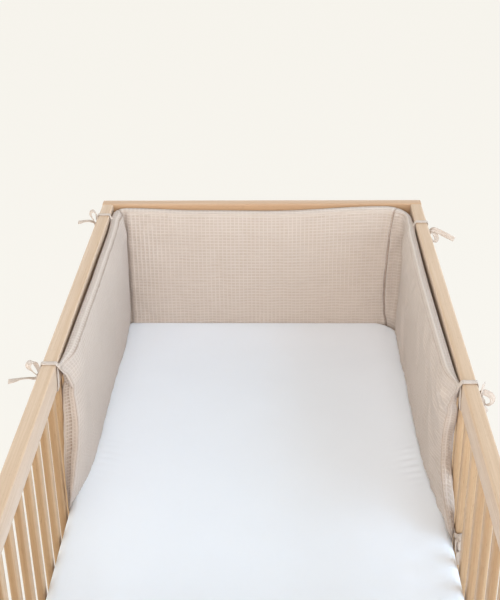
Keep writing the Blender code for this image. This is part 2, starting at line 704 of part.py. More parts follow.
def add_tape(bm, rows, to_world, turn, count):
    """A flat tape along a route: a box section whose width points the way the rows say."""
    spots = smooth_route([to_world(Vector(row[:3])) for row in rows], count)
    widths = smooth_route([turn(Vector(row[3])) for row in rows], count)
    loops = []
    for i, spot in enumerate(spots):
        ahead = spots[min(i + 1, count - 1)] - spots[max(i - 1, 0)]
        ahead.normalize()
        width = widths[i] - ahead * widths[i].dot(ahead)
        width.normalize()
        thin = ahead.cross(width) * TAPE_THICK / 2
        wide = width * TAPE_WIDTH / 2
        corners = (wide + thin, -wide + thin, -wide - thin, wide - thin)
        loops.append([bm.verts.new(spot + corner) for corner in corners])
    skin_loops(bm, loops)
    bm.faces.new(reversed(loops[0]))
    bm.faces.new(loops[-1])
    bmesh.ops.recalc_face_normals(bm, faces=bm.faces)


def build_tie(name, rows_list, knot, to_world, turn, material, parts, cutters):
    """A knot with the tapes that meet in it, joined into one body."""
    bm = bmesh.new()
    place = Matrix.Translation(to_world(Vector(knot))) @ Matrix.Diagonal((*Vector(KNOT_SIZE) / 2, 1.0))
    bmesh.ops.create_uvsphere(bm, u_segments=10, v_segments=6, radius=1.0, matrix=place)
    tie = make_object(name, bm, material, parts)
    for index, rows in enumerate(rows_list):
        tape = bmesh.new()
        add_tape(tape, rows, to_world, turn, 2 * len(rows) + 1)
        union(tie, make_cutter(f"{name}_tape_{index}", tape, material, cutters))


def build_ties(material, parts, cutters):
    for name, side, y, drift, top_seam, tapes in TOP_TIES:
        def to_world(p, side=side, y=y):
            return Vector((side * (RAIL_MID_X + p.x), y + p.y, RAIL_TOP + p.z))

        def turn(d, side=side):
            return Vector((side * d.x, d.y, d.z)).normalized()

        rows_list = (over_strand(top_seam), under_strand(drift), *tapes)
        build_tie(name, rows_list, TOP_KNOT, to_world, turn, material, parts, cutters)

    for name, side, bar, depth, knot, tapes in LOW_TIES:
        bar_y = HALF_INNER - FIRST_SLAT - bar * SIDE_PITCH

        def to_world(p, side=side, bar_y=bar_y, depth=depth):
            return Vector((side * (RAIL_MID_X + p.x), bar_y + p.y, RAIL_TOP - depth + p.z))

        def turn(d, side=side):
            return Vector((side * d.x, d.y, d.z)).normalized()

        build_tie(name, tapes, knot, to_world, turn, material, parts, cutters)


# ---------------------------------------------------------------- the whole


def main():
    clear_scene()
    parts = make_collection("crib_bumper")
    cutters = make_collection("cutters")
    wood = make_material("beech", (0.76, 0.60, 0.42), 0.55)
    base_wood = make_material("base_wood", (0.72, 0.58, 0.41), 0.65)
    waffle = make_material("waffle_cotton", (0.66, 0.56, 0.47), 0.95)
    tape = make_material("tape", (0.68, 0.59, 0.51), 0.95)
    sheet = make_material("white_sheet", (0.86, 0.87, 0.89), 0.90)

    build_side("side_left", -1, wood, parts, cutters)
    build_side("side_right", 1, wood, parts, cutters)
    build_end("end_head", 1, wood, parts, cutters)
    build_end("end_foot", -1, wood, parts, cutters)
    for side_name, side in (("left", -1), ("right", 1)):
        for end_name, end in (("head", 1), ("foot", -1)):
            build_post(f"post_{end_name}_{side_name}", side, end, wood, parts)
    build_base(base_wood, parts, cutters)
    build_mattress(sheet, parts)
    build_bumper(Run(), waffle, parts)
    build_ties(tape, parts, cutters)


main()
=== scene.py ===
"""A padded waffle cotton crib bumper, tied inside the head half of a beech crib with a sheeted mattress.

Metres, +Z up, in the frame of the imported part: the origin is on the floor under the crib's middle, and the
head end is at +Y. The bumper is one closed mesh of columns along its run and rows round its section.
"""

import math

import bmesh
import bpy
import numpy as np
from mathutils import Matrix, Vector

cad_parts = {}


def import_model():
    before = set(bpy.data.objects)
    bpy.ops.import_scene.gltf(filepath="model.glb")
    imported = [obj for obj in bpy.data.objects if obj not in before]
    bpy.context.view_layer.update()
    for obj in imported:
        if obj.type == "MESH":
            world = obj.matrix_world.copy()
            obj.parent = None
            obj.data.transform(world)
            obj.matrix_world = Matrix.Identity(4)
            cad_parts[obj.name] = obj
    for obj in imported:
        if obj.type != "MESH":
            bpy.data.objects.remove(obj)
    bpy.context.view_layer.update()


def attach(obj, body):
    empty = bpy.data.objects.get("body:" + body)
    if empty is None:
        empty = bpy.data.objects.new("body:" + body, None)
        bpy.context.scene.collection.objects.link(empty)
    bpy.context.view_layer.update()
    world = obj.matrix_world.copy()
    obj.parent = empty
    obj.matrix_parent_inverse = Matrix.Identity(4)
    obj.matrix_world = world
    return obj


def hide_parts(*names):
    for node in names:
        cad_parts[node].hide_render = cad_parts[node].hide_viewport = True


# ---------------- dimensions of the solids

CRIB_WIDTH = 0.660
INNER_LENGTH = 1.206
RAIL_TOP = 0.800
SIDE_RAIL_WIDTH = 0.023
END_RAIL_WIDTH = 0.0245
RAIL_DEPTH = 0.043
LOW_RAIL_Z = 0.245
POST_WIDTH = 0.050
SLAT_THICK = 0.012
SLAT_WIDTH = 0.022
SIDE_SLATS = 19
SIDE_PITCH = 0.0605
END_SLATS = 8
END_PITCH = 0.0615
SEAT = 0.0003
RAIL_ROUNDING = 0.0032
BAR_ROUNDING = 0.0055
BASE_ROUNDING = 0.0015
BAR_SINK = 0.004              # how far a bar goes into a rail

MATTRESS_TOP = RAIL_TOP - 0.265
MATTRESS_THICK = 0.100
MATTRESS_FREE = 0.3095        # half its width where nothing squeezes it
TOUCH_SHARE = 0.075           # the share of the bumper's height at which the mattress touches it
SIDE_SQUEEZE = 0.0042         # how far the sheet reaches into the bumper there
HEAD_SQUEEZE = 0.0025
FOOT_GAP = 0.0015
MATTRESS_LEFT_R = 0.014       # its corners at the head, left and right, and at the foot
MATTRESS_RIGHT_R = 0.062
MATTRESS_FOOT_R = 0.030
MATTRESS_GRID = (320, 72)     # rows and columns of the mesh's even part
MATTRESS_GRID_HALF = 0.29
SHEET_DROP = 0.016            # how far the top rounds off at its edge, and how much less beside the bumper
SHEET_PRESSED = 0.012
MATTRESS_STEPS = (0.0, 0.0012, 0.0030, 0.0058, 0.0096, 0.0145, 0.0210)   # the mesh's rows beside an edge
# Depth under the mattress's top, and how far its side is drawn in there.
MATTRESS_WALL = ((0.030, 0.0), (0.060, 0.0), (0.084, 0.0005), (0.094, 0.0030), (0.0985, 0.0075),
                 (MATTRESS_THICK, 0.0150))
BASE_SLATS = 10
BASE_SLAT_THICK = 0.010
BASE_SLAT_WIDTH = 0.060
BASE_GAP = 0.004              # between the base and the sides
BASE_END_GAP = 0.040          # from the ends to the middle of the first slat
BEARER_SIZE = 0.028

GUSSET = 0.018
CROWN_FRONT = 0.0095
CROWN_BACK = 0.0010
LEAN = 0.0045
RAIL_CLEARANCE = 0.0025
BUMPER_BOTTOM = RAIL_TOP - 0.287
LEFT_END_Y = -0.0415
RIGHT_END_Y = -0.0945
LEFT_CORNER_R = 0.020
RIGHT_CORNER_R = 0.044
RIGHT_SEAM_X = 0.2655
SEAM_GROOVE = 0.011
END_REACH = 0.20

TAPE_WIDTH = 0.0102
TAPE_THICK = 0.0011

HALF_WIDTH = CRIB_WIDTH / 2
HALF_INNER = INNER_LENGTH / 2
HALF_LENGTH = HALF_INNER + END_RAIL_WIDTH
RAIL_INNER_X = HALF_WIDTH - SIDE_RAIL_WIDTH
RAIL_MID_X = HALF_WIDTH - SIDE_RAIL_WIDTH / 2
SPINE_X = RAIL_INNER_X - RAIL_CLEARANCE - GUSSET / 2
SPINE_Y = HALF_INNER - RAIL_CLEARANCE - GUSSET / 2
FIRST_SLAT = (INNER_LENGTH - (SIDE_SLATS - 1) * SIDE_PITCH) / 2

# Share of the bumper's run, and how far its top seam lies under the top of the rails there.
TOP_EDGE = (
    (0.00, 0.0050), (0.08, 0.0045), (0.20, 0.0075), (0.28, 0.0120), (0.34, 0.0065), (0.42, 0.0115),
    (0.50, 0.0130), (0.62, 0.0035), (0.66, 0.0080), (0.78, 0.0085), (0.92, 0.0060), (1.00, 0.0060),
)

# Share of the height from the bottom edge, and how far a free end is drawn in from its upper corner there.
LEFT_END = (
    (0.00, -0.008), (0.10, -0.014), (0.22, -0.023), (0.34, -0.018), (0.48, 0.000), (0.62, 0.014),
    (0.76, 0.024), (0.90, 0.018), (1.00, 0.000),
)
RIGHT_END = (
    (0.00, -0.026), (0.12, -0.030), (0.20, -0.020), (0.30, 0.014), (0.42, 0.040), (0.56, 0.042),
    (0.72, 0.030), (0.88, 0.012), (1.00, 0.000),
)

# Distance between the near and the far tie, on the left and on the right.
TIE_SPANS = (0.589, 0.602)

# Share of the height, and how far the right seam strays from its upright line there.
RIGHT_SEAM_LINE = (
    (0.00, 0.0080), (0.08, 0.0060), (0.18, 0.0000), (0.30, -0.0022), (0.44, -0.0020), (0.60, 0.0010),
    (0.80, 0.0042), (0.93, 0.0092), (1.00, 0.0105),
)

# Distance past the right seam, and how far the front sinks into the corner there.
CORNER_TUCK = (
    (0.000, 0.0000), (0.007, 0.0010), (0.018, 0.0120), (0.029, 0.0195), (0.040, 0.0165),
    (0.055, 0.0130), (0.066, 0.0100), (0.077, 0.0062), (0.091, 0.0030), (0.115, 0.0008),
    (0.145, 0.0000),
)

# ---------------- dimensions of the cloth

CELL_WIDTH = 0.0085           # one cell of the waffle weave along the run
CELL_HEIGHT = 0.0070
WAFFLE_DEPTH = 0.0009
FACE_HEIGHT = 0.280           # flat height of a face, for the weave
SEAM_STEPS = (0.0, 0.0014, 0.0028, 0.0040, 0.0052)   # the mesh's rows beside a seam
STITCH_GAP = SEAM_STEPS[3]    # from the seam to its topstitching
SEAM_DEPTH = 0.0010
SEAM_WIDTH = 0.0016
STITCH_WIDTH = 0.0007
PLAIN_TONE = 0.60             # how light the plain cloth beside a seam is, between a pit (0) and a ridge (1)
STRIP_ROWS = np.array((0.09, 0.20, 0.31, 0.43, 0.55, 0.67, 0.79, 0.91))
STRIP_RIDGES = np.array((1, 0, 1, 1, 0, 1, 0, 1))
STRIP_SWELL = 0.0022
MIDDLE_SEAM = STRIP_ROWS[3]

# Bulges of the front: how far out, how far along from where each is measured and how wide, and, where it is
# given, the share of the height and how high.
LEFT_END_BULGE = (0.0090, 0.0, 0.060, 0.58, 0.24)        # from the free end
RIGHT_END_BULGE = (0.0030, 0.0, 0.060, 0.72, 0.20)
LEFT_LONG_BULGE = (0.0042, 0.120, 0.075)                 # back from the left seam
LEFT_SEAM_BULGES = ((0.0048, 0.026, 0.024, 0.84, 0.20), (0.0022, 0.045, 0.040, 0.45, 0.25))
RIGHT_NEAR_BULGE = (0.0036, 0.300, 0.140)                # from the free end
RIGHT_FAR_BULGE = (0.0045, 0.140, 0.090)                 # from the right seam
HEAD_BULGE = 0.0024

# The cushion's cloth simulation. A shrink below 0 makes the cloth larger than the pad.
CLOTH_FRAMES = 20
MOST_SWELL = 0.0022           # how far the cloth moves at most
CLOTH_SETTINGS = {
    "quality": 6, "mass": 0.3, "tension_stiffness": 18.0, "compression_stiffness": 18.0,
    "shear_stiffness": 8.0, "bending_stiffness": 0.6, "air_damping": 2.0, "use_pressure": True,
    "uniform_pressure_force": 0.6, "shrink_min": -0.014, "vertex_group_mass": "held",
}

FLOOR_CREAM = (0.930, 0.905, 0.847)

CAMERA_PLACE = (0.0342, -1.4684, 1.6442)
CAMERA_TURN = 1.661           # degrees
CAMERA_DIP = 27.24
CAMERA_ROLL = -0.744

# ---------------- small helpers


def ease(t):
    t = np.clip(t, 0.0, 1.0)
    return t * t * (3.0 - 2.0 * t)


def near(distance, reach, other=0.0, other_reach=1.0):
    """1 where a distance is 0, fading away over its reach; with a second distance it fades both ways."""
    return np.exp(-(distance / reach) ** 2 - (other / other_reach) ** 2)


def read_table(rows, x):
    """Values of a two-column table at x, eased between its rows."""
    places, values = np.array(rows).T
    k = np.clip(np.searchsorted(places, x, side="right") - 1, 0, len(places) - 2)
    share = ease((x - places[k]) / (places[k + 1] - places[k]))
    return values[k] + (values[k + 1] - values[k]) * share


def soft_noise(x, y, size, seed):
    """Smooth noise from -1 to 1 on a plane, with lumps about as wide as size."""
    table = np.random.default_rng(seed).uniform(-1.0, 1.0, (64, 64))
    x, y = np.broadcast_arrays(np.asarray(x) / size, np.asarray(y) / size)
    i, j = np.floor(x).astype(int), np.floor(y).astype(int)
    u, v = ease(x - i), ease(y - j)
    low = table[i % 64, j % 64] * (1 - u) + table[(i + 1) % 64, j % 64] * u
    high = table[i % 64, (j + 1) % 64] * (1 - u) + table[(i + 1) % 64, (j + 1) % 64] * u
    return low * (1 - v) + high * v


def catmull(values, index):
    """Values on a Catmull-Rom curve at fractional indices along the first axis."""
    values = np.asarray(values, float)
    last = len(values) - 1
    k = np.clip(np.floor(index).astype(int), 0, last - 1)
    t = (index - k).reshape((-1,) + (1,) * (values.ndim - 1))
    b, c = values[k], values[k + 1]
    a = np.where((k > 0).reshape(t.shape), values[np.maximum(k - 1, 0)], 2 * b - c)
    d = np.where((k < last - 1).reshape(t.shape), values[np.minimum(k + 2, last)], 2 * c - b)
    square, cube = 2 * a - 5 * b + 4 * c - d, 3 * b - a - 3 * c + d
    return 0.5 * (2 * b + (c - a) * t + square * t ** 2 + cube * t ** 3)


def unit(vectors):
    """Vectors of length 1."""
    return vectors / np.maximum(np.linalg.norm(vectors, axis=-1, keepdims=True), 1e-12)


def link(name, data):
    """A new object in the scene."""
    obj = bpy.data.objects.new(name, data)
    bpy.context.scene.collection.objects.link(obj)
    return obj


def make_object(name, verts, faces, material, uvs=None, flat=None):
    """A smooth mesh object; uvs (a pair for each face corner) or flat (one for each point) are in metres."""
    mesh = bpy.data.meshes.new(name)
    mesh.from_pydata([tuple(v) for v in verts], [], [tuple(f) for f in faces])
    if flat is not None:
        uvs = flat[np.array([i for face in faces for i in face])]
    if uvs is not None:
        layer = mesh.uv_layers.new(name="cloth")
        layer.data.foreach_set("uv", np.asarray(uvs, np.float32).ravel())
    mesh.materials.append(material)
    mesh.shade_smooth()
    return link(name, mesh)


def bmesh_object(bm, name, material):
    """A smooth mesh object from a bmesh, which is freed."""
    mesh = bpy.data.meshes.new(name)
    bm.to_mesh(mesh)
    bm.free()
    mesh.materials.append(material)
    mesh.shade_smooth()
    return link(name, mesh)


def ring_faces(before, after):
    """Quads between closed rings of points; each ring is a row of indices."""
    return np.stack((before, after, np.roll(after, -1, -1), np.roll(before, -1, -1)), -1).reshape(-1, 4)


def cell_corners(grid):
    """The four corners of each cell of a grid, going round it."""
    return grid[:-1, :-1], grid[1:, :-1], grid[1:, 1:], grid[:-1, 1:]


def cell_uvs(u, v, turn=slice(None)):
    """A pair for each corner of each cell; turn may reverse the way round."""
    return np.stack(cell_corners(np.stack((u, v), -1))[turn], 2).reshape(-1, 2)


def add_values(obj, name, values):
    """A value for each point of the mesh, for its material."""
    attribute = obj.data.attributes.new(name, "FLOAT", "POINT")
    attribute.data.foreach_set("value", np.asarray(values, np.float32).ravel())


# ---------------- materials


class Nodes:
    """Short calls for a material's node tree."""

    def __init__(self, name):
        self.material = bpy.data.materials.new(name)
        self.material.use_nodes = True
        self.tree = self.material.node_tree
        self.shader = self.tree.nodes["Principled BSDF"]

    def add(self, kind, settings=None, **inputs):
        node = self.tree.nodes.new(kind)
        for key, value in (settings or {}).items():
            setattr(node, key, value)
        for key, value in inputs.items():
            self.put(node.inputs[key.replace("_", " ")], value)
        return node

    def put(self, socket, value):
        if isinstance(value, bpy.types.NodeSocket):
            self.tree.links.new(value, socket)
        else:
            socket.default_value = (*value, 1) if socket.type == "RGBA" else value

    def cloth(self):
        return self.add("ShaderNodeUVMap", {"uv_map": "cloth"}).outputs["UV"]

    def attribute(self, name, output="Fac"):
        return self.add("ShaderNodeAttribute", {"attribute_name": name}).outputs[output]

    def stretch(self, vector, scale):
        return self.add("ShaderNodeMapping", Vector=vector, Scale=scale).outputs["Vector"]

    def noise(self, vector, scale, detail=4.0, roughness=0.5):
        node = self.add("ShaderNodeTexNoise", Vector=vector, Scale=scale, Detail=detail, Roughness=roughness)
        return node.outputs["Fac"]

    def math(self, operation, first, second=0.0):
        node = self.add("ShaderNodeMath", {"operation": operation})
        self.put(node.inputs[0], first)
        self.put(node.inputs[1], second)
        return node.outputs[0]

    def plus(self, first, second):
        return self.math("ADD", first, second)

    def times(self, first, second):
        return self.math("MULTIPLY", first, second)

    def wave(self, value):
        """Ridges: the sine, folded up."""
        return self.math("ABSOLUTE", self.math("SINE", value))

    def span(self, value, low, high, to_low=0.0, to_high=1.0):
        node = self.add("ShaderNodeMapRange", Value=value, From_Min=low, From_Max=high,
                        To_Min=to_low, To_Max=to_high)
        return node.outputs["Result"]

    def mix(self, share, first, second):
        node = self.add("ShaderNodeMix", {"data_type": "RGBA"})
        self.put(node.inputs["Factor"], share)
        self.put(node.inputs[6], first)
        self.put(node.inputs[7], second)
        return node.outputs[2]

    def bump(self, height, distance, under=None):
        node = self.add("ShaderNodeBump", Height=height, Distance=distance, Strength=1.0)
        if under is not None:
            self.put(node.inputs["Normal"], under)
        return node.outputs["Normal"]

    def finish(self, color, roughness, normal=None, **fixed):
        self.put(self.shader.inputs["Base Color"], color)
        self.put(self.shader.inputs["Roughness"], roughness)
        if normal is not None:
            self.put(self.shader.inputs["Normal"], normal)
        for key, value in fixed.items():
            self.shader.inputs[key.replace("_", " ")].default_value = value
        return self.material


def yarns(n, cloth, pitch):
    """Heights of plain yarns that go over and under each other, pitch apart."""
    split = n.add("ShaderNodeSeparateXYZ", Vector=n.stretch(cloth, (math.pi / pitch,) * 3))
    woven = n.times(n.wave(split.outputs["X"]), n.wave(split.outputs["Y"]))
    return n.plus(woven, n.times(n.noise(cloth, 1.6 / pitch, 2.0), 0.8))


def waffle_material():
    """Waffle weave: light ridges round pits darkened by painted shade, plain cloth beside the seams, and dark
    seams.
    """
    n = Nodes("waffle_cotton")
    cloth = n.cloth()
    # The distance to the nearest ridge, in cells. Here the upright ridges stand out, there the level ones.
    place = n.add("ShaderNodeSeparateXYZ", Vector=cloth).outputs["X"]
    drift = n.plus(n.noise(cloth, 7.0, 2.0), n.span(place, 0.60, 1.15, -0.08, 0.20))
    along, up = (n.math("PINGPONG", n.attribute(name), 0.5) for name in ("cell_along", "cell_up"))
    off_upright = n.times(along, n.span(drift, 0.38, 0.72, 0.75, 2.6))
    off_level = n.times(up, n.span(drift, 0.38, 0.62, 1.5, 1.0))
    ridge = n.span(n.math("MINIMUM", off_upright, off_level), 0.03, 0.20, 1.0, 0.0)
    woven = n.times(n.attribute("weave"), n.math("SUBTRACT", ridge, PLAIN_TONE))
    tone = n.plus(n.attribute("tone"), woven)
    # Painted shade: the pits are darker than the ridges, and the tone also carries painted shade from the
    # bumper's mesh.
    color = n.mix(n.span(tone, 0.0, 1.0), (0.494, 0.383, 0.303), (0.588, 0.481, 0.399))
    color = n.mix(n.span(tone, -0.4, 0.0, 0.80, 0.0), color, (0.250, 0.165, 0.115))
    slub = n.noise(n.stretch(cloth, (30.0, 260.0, 1.0)), 1.0)
    patch = n.noise(cloth, 9.0, 3.0)
    color = n.mix(n.span(slub, 0.35, 0.70, 0.0, 0.20), color, (0.660, 0.555, 0.470))
    color = n.mix(n.span(patch, 0.35, 0.70, 0.0, 0.06), color, (0.500, 0.390, 0.310))
    return n.finish(color, 0.92, n.bump(yarns(n, cloth, 0.0009), 0.00022, n.bump(woven, 0.0005)),
                    Sheen_Weight=0.25, Sheen_Roughness=0.5, Specular_IOR_Level=0.2)


def tape_material():
    """Twill tape: slanted fine ridges."""
    n = Nodes("tape")
    cloth = n.cloth()
    split = n.add("ShaderNodeSeparateXYZ", Vector=cloth)
    ridge = n.wave(n.plus(n.times(split.outputs["X"], 4200.0),
                          n.times(n.math("ABSOLUTE", split.outputs["Y"]), 4200.0)))
    shade = n.noise(n.stretch(cloth, (60.0, 400.0, 1.0)), 1.0, 3.0)
    color = n.mix(n.span(shade, 0.3, 0.7), (0.480, 0.375, 0.295), (0.580, 0.475, 0.390))
    color = n.mix(n.span(ridge, 0.0, 0.5, 0.16, 0.0), color, (0.330, 0.245, 0.185))
    return n.finish(color, 0.9, n.bump(ridge, 0.00015), Sheen_Weight=0.2, Specular_IOR_Level=0.2)


def sheet_material():
    """Plain white cotton."""
    n = Nodes("white_sheet")
    cloth = n.cloth()
    patch = n.noise(cloth, 5.0, 3.0)
    thread = n.noise(n.stretch(cloth, (900.0, 900.0, 1.0)), 1.0, 2.0)
    color = n.mix(n.span(patch, 0.3, 0.7), (0.852, 0.852, 0.853), (0.872, 0.872, 0.872))
    color = n.mix(n.span(thread, 0.35, 0.65, 0.0, 0.10), color, (0.790, 0.795, 0.802))
    return n.finish(color, 0.88, n.bump(yarns(n, cloth, 0.0006), 0.00008),
                    Sheen_Weight=0.15, Specular_IOR_Level=0.2)


def wood_material(name, light, dark, rough=0.45):
    """Beech: long soft bands, fine fibres and short dark flecks, all along the grain."""
    n = Nodes(name)
    grain = n.attribute("grain", "Vector")
    bands = n.noise(n.stretch(grain, (1.1, 42.0, 42.0)), 1.0, 5.0, 0.55)
    fibres = n.noise(n.stretch(grain, (9.0, 420.0, 420.0)), 1.0, 3.0)
    flecks = n.noise(n.stretch(grain, (95.0, 900.0, 900.0)), 1.0, 1.0)
    color = n.mix(n.span(bands, 0.32, 0.68), light, dark)
    color = n.mix(n.span(fibres, 0.35, 0.70, 0.0, 0.35), color, [c * 0.80 for c in dark])
    color = n.mix(n.span(flecks, 0.62, 0.75, 0.0, 0.40), color, [c * 0.62 for c in dark])
    height = n.plus(n.times(fibres, 0.7), n.times(bands, 0.3))
    return n.finish(color, n.span(fibres, 0.3, 0.7, rough - 0.05, rough + 0.08), n.bump(height, 0.0002),
                    Specular_IOR_Level=0.35, Coat_Weight=0.06, Coat_Roughness=0.35)


def floor_material():
    """A pale studio floor that keeps only a faint shadow."""
    n = Nodes("floor_cream")
    n.put(n.shader.inputs["Emission Color"], FLOOR_CREAM)
    n.put(n.shader.inputs["Emission Strength"], 0.912)
    return n.finish((0.09, 0.086, 0.078), 1.0, Specular_IOR_Level=0.0)


# ---------------- bumper


class Run:
    """The bumper's run in plan: up the left side, round the head and down the right side."""

    def __init__(self):
        self.left = SPINE_Y - LEFT_CORNER_R - LEFT_END_Y
        self.left_arc = LEFT_CORNER_R * math.pi / 2
        self.head = 2 * SPINE_X - LEFT_CORNER_R - RIGHT_CORNER_R
        self.right_arc = RIGHT_CORNER_R * math.pi / 2
        self.right = SPINE_Y - RIGHT_CORNER_R - RIGHT_END_Y
        self.length = self.left + self.left_arc + self.head + self.right_arc + self.right
        self.left_seam = self.left + self.left_arc / 2
        turn = math.asin((RIGHT_SEAM_X - SPINE_X + RIGHT_CORNER_R) / RIGHT_CORNER_R)
        self.right_seam = self.left + self.left_arc + self.head + RIGHT_CORNER_R * turn

    def place(self, s):
        """Points on the run, and unit normals that face the sleeper."""
        marks = np.cumsum([self.left, self.left_arc, self.head, self.right_arc])
        first = np.clip((s - marks[0]) / LEFT_CORNER_R, 0.0, math.pi / 2)
        second = np.clip((s - marks[2]) / RIGHT_CORNER_R, 0.0, math.pi / 2)
        x = (-SPINE_X + LEFT_CORNER_R * (1 - np.cos(first)) + np.clip(s - marks[1], 0.0, self.head)
             + RIGHT_CORNER_R * np.sin(second))
        y = (LEFT_END_Y + np.minimum(s, self.left) + LEFT_CORNER_R * np.sin(first)
             - RIGHT_CORNER_R * (1 - np.cos(second)) - np.maximum(s - marks[3], 0.0))
        return (x, y), (np.cos(first + second), -np.sin(first + second))

    def panels(self):
        return ((0.0, self.left_seam), (self.left_seam, self.right_seam), (self.right_seam, self.length))

    def to_end(self, s):
        """Distance to the nearer free end."""
        return np.minimum(s, self.length - s)

    def to_seam(self, s):
        """Distance to the nearer upright seam."""
        return np.minimum(np.abs(s - self.left_seam), np.abs(s - self.right_seam))

    def at_head(self, s):
        return (s > self.left_seam) & (s < self.right_seam)

    def by_panel(self, s, left, head, right):
        """A value for each of the three panels."""
        return np.where(self.at_head(s), head, np.where(s < self.left_seam, left, right))

    def by_side(self, s, left, right):
        """A value for each half of the run."""
        return np.where(s < self.length / 2, left, right)


def rise(distance, reach):
    """From 0 to 1 over the reach, steep at first."""
    return 1.0 - (1.0 - np.clip(distance / reach, 0.0, 1.0)) ** 2.5


def crown(v):
    """The swelling of a face from its bottom to its top edge: flat in the middle, fullest below it."""
    v = v ** 0.85
    return (1.0 - np.abs(2.0 * v - 1.0) ** 2.4) ** 0.75


def top_height(run, s):
    return RAIL_TOP - read_table(TOP_EDGE, s / run.length)


def corner_tuck(run, s, v, height):
    """How far the front sinks into the right corner, past the seam, where the side panel bulges over it."""
    deep = read_table(CORNER_TUCK, s - run.right_seam)
    at_top = 1.0 - 0.62 * near((1.0 - v) * height, 0.035)
    return deep * at_top * (0.15 + 0.85 * ease((v - 0.05) / 0.30))


def rail_gap(run, s, v):
    """The ties hold the top of the sides against the rails; between them it sags away a little."""
    total = 0.0
    for to_tie, span in ((s, TIE_SPANS[0]), (run.length - s, TIE_SPANS[1])):
        sag = np.sin(math.pi * np.clip(to_tie / span, 0.0, 1.0))
        held = near(to_tie, 0.022) + near(to_tie - span, 0.016)
        total = total + 0.0028 * sag - 0.0020 * held
    return total * ease((v - 0.45) / 0.45)


def bulge(row, distance, v=0.0):
    """How far out a bulge's row brings the front at a distance along the run and a share of the height."""
    out, along, reach, level, spread = (*row, 0.0, 1.0)[:5]
    return out * near(distance - along, reach, v - level, spread)


def pad_offsets(run, s, v):
    """Distances of the front and the back face from the run's line, towards the sleeper."""
    to_end, to_left_seam, to_right_seam = run.to_end(s), np.abs(s - run.left_seam), np.abs(s - run.right_seam)
    before, past = run.left_seam - s, s - run.left_seam
    height = top_height(run, s) - BUMPER_BOTTOM
    under_top = (1.0 - v) * height
    bottom_ease = ease(v / 0.06)

    # The filling thins out towards the free ends and the upright seams, and each seam lies in a groove.
    left_full = np.where(past > 0, 0.5 + 0.5 * ease((to_left_seam - 0.0125) / 0.0050),
                         rise(to_left_seam, 0.022))
    right_full = 0.82 + 0.18 * rise(to_right_seam, 0.0035)
    full = rise(to_end, 0.070) * left_full * right_full * run.by_panel(s, 1.0, 0.5, 1.0)
    full_front = full * run.by_panel(s, 0.40 + 0.60 * ease((1.0 - v) / 0.30), 1.0, 1.0)
    left_groove = np.where(past > 0, 0.4 + 0.6 * (to_left_seam - 0.009) / 0.007, to_left_seam / SEAM_GROOVE)
    groove = np.minimum(0.30 + 0.70 * ease(left_groove), 0.78 + 0.22 * ease(to_right_seam / 0.0040))

    # The corners of the free ends are pinched, and the ends are thick between them.
    near_top = near(to_end, 0.036, under_top, run.by_side(s, 0.034, 0.050))
    near_bottom = near(to_end, run.by_side(s, 0.075, 0.105), v * height, 0.055)
    width = GUSSET * (1.0 - 0.66 * near_top - 0.82 * near_bottom) * (0.42 + 0.58 * groove)
    width = width + bulge(LEFT_END_BULGE, s, v)
    width = width + bulge(RIGHT_END_BULGE, run.length - s, v)

    # The panels bulge: the left one before its seam, the right one and the head in their lower part.
    out = bulge(LEFT_LONG_BULGE, before) * bottom_ease * ease((1.0 - v) / 0.30)
    for row in LEFT_SEAM_BULGES:
        out = out + bulge(row, before, v)
    out = np.where(before > 0, out * ease(before / 0.012), 0.0)
    low = bottom_ease * ease((0.75 - v) / 0.45)
    out = out + bulge(RIGHT_NEAR_BULGE, run.length - s) * low
    out = out + bulge(RIGHT_FAR_BULGE, s - run.right_seam) * low
    out = out + HEAD_BULGE * run.at_head(s) * low * groove

    # Under the rail the back leans out against the bars, clear of the post in the corner.
    under_rail = ease((under_top - RAIL_DEPTH) / 0.030)
    past_post = np.where(past > 0, (past - 0.020) / 0.050, to_left_seam / 0.020)
    lean = LEAN * run.by_panel(s, 1.0, 0.3, 1.0)
    back = -GUSSET / 2 - lean * under_rail * ease(past_post) + rail_gap(run, s, v)
    back = back - 0.0024 * near(to_end, 0.06) * under_rail
    front = back + width + out + CROWN_FRONT * crown(v) * full_front - corner_tuck(run, s, v, height)
    return front, back - CROWN_BACK * under_rail * crown(v) * full


def pad_point(run, s, v, offset, lift=0.0, outward=0.0):
    """Points of the pad. Past either free end the run is carried on in a straight line."""
    s, v, offset, lift = np.broadcast_arrays(s, v, offset, lift)
    near_left = np.maximum(0.0, 1.0 - s / END_REACH) ** 2
    near_right = np.maximum(0.0, 1.0 - (run.length - s) / END_REACH) ** 2
    at = s + read_table(LEFT_END, v) * near_left - read_table(RIGHT_END, v) * near_right
    at = at + read_table(RIGHT_SEAM_LINE, v) * near(s - run.right_seam, 0.030)
    past = np.minimum(at, 0.0) + np.maximum(at - run.length, 0.0)
    (x, y), (normal_x, normal_y) = run.place(np.clip(at, 0.0, run.length))
    y = y + normal_y * offset + run.by_side(s, 1.0, -1.0) * (past + outward)
    z = BUMPER_BOTTOM + (top_height(run, s) - BUMPER_BOTTOM) * v + lift
    return np.stack((x + normal_x * offset, y, z), axis=-1)


def seam_to_seam(start, stop, cell):
    """Places from a seam to just before the next, and whether each lies on a ridge of the weave (1)."""
    far = SEAM_STEPS[-1]
    cells = round((stop - start - 2 * far) / cell)
    inner = np.linspace(start + far, stop - far, 2 * cells + 1)
    before = [start + step for step in SEAM_STEPS[:-1]]
    after = [stop - step for step in SEAM_STEPS[-2:0:-1]]
    return [*before, *inner, *after], [1, 1, 0, 1] + [1, 0] * cells + [1] + [1, 0, 1]


def cell_phase(ridges):
    """Places counted in cells: whole at a ridge, half at a pit."""
    return np.concatenate(([0.0], np.cumsum(np.abs(np.diff(ridges))))) / 2


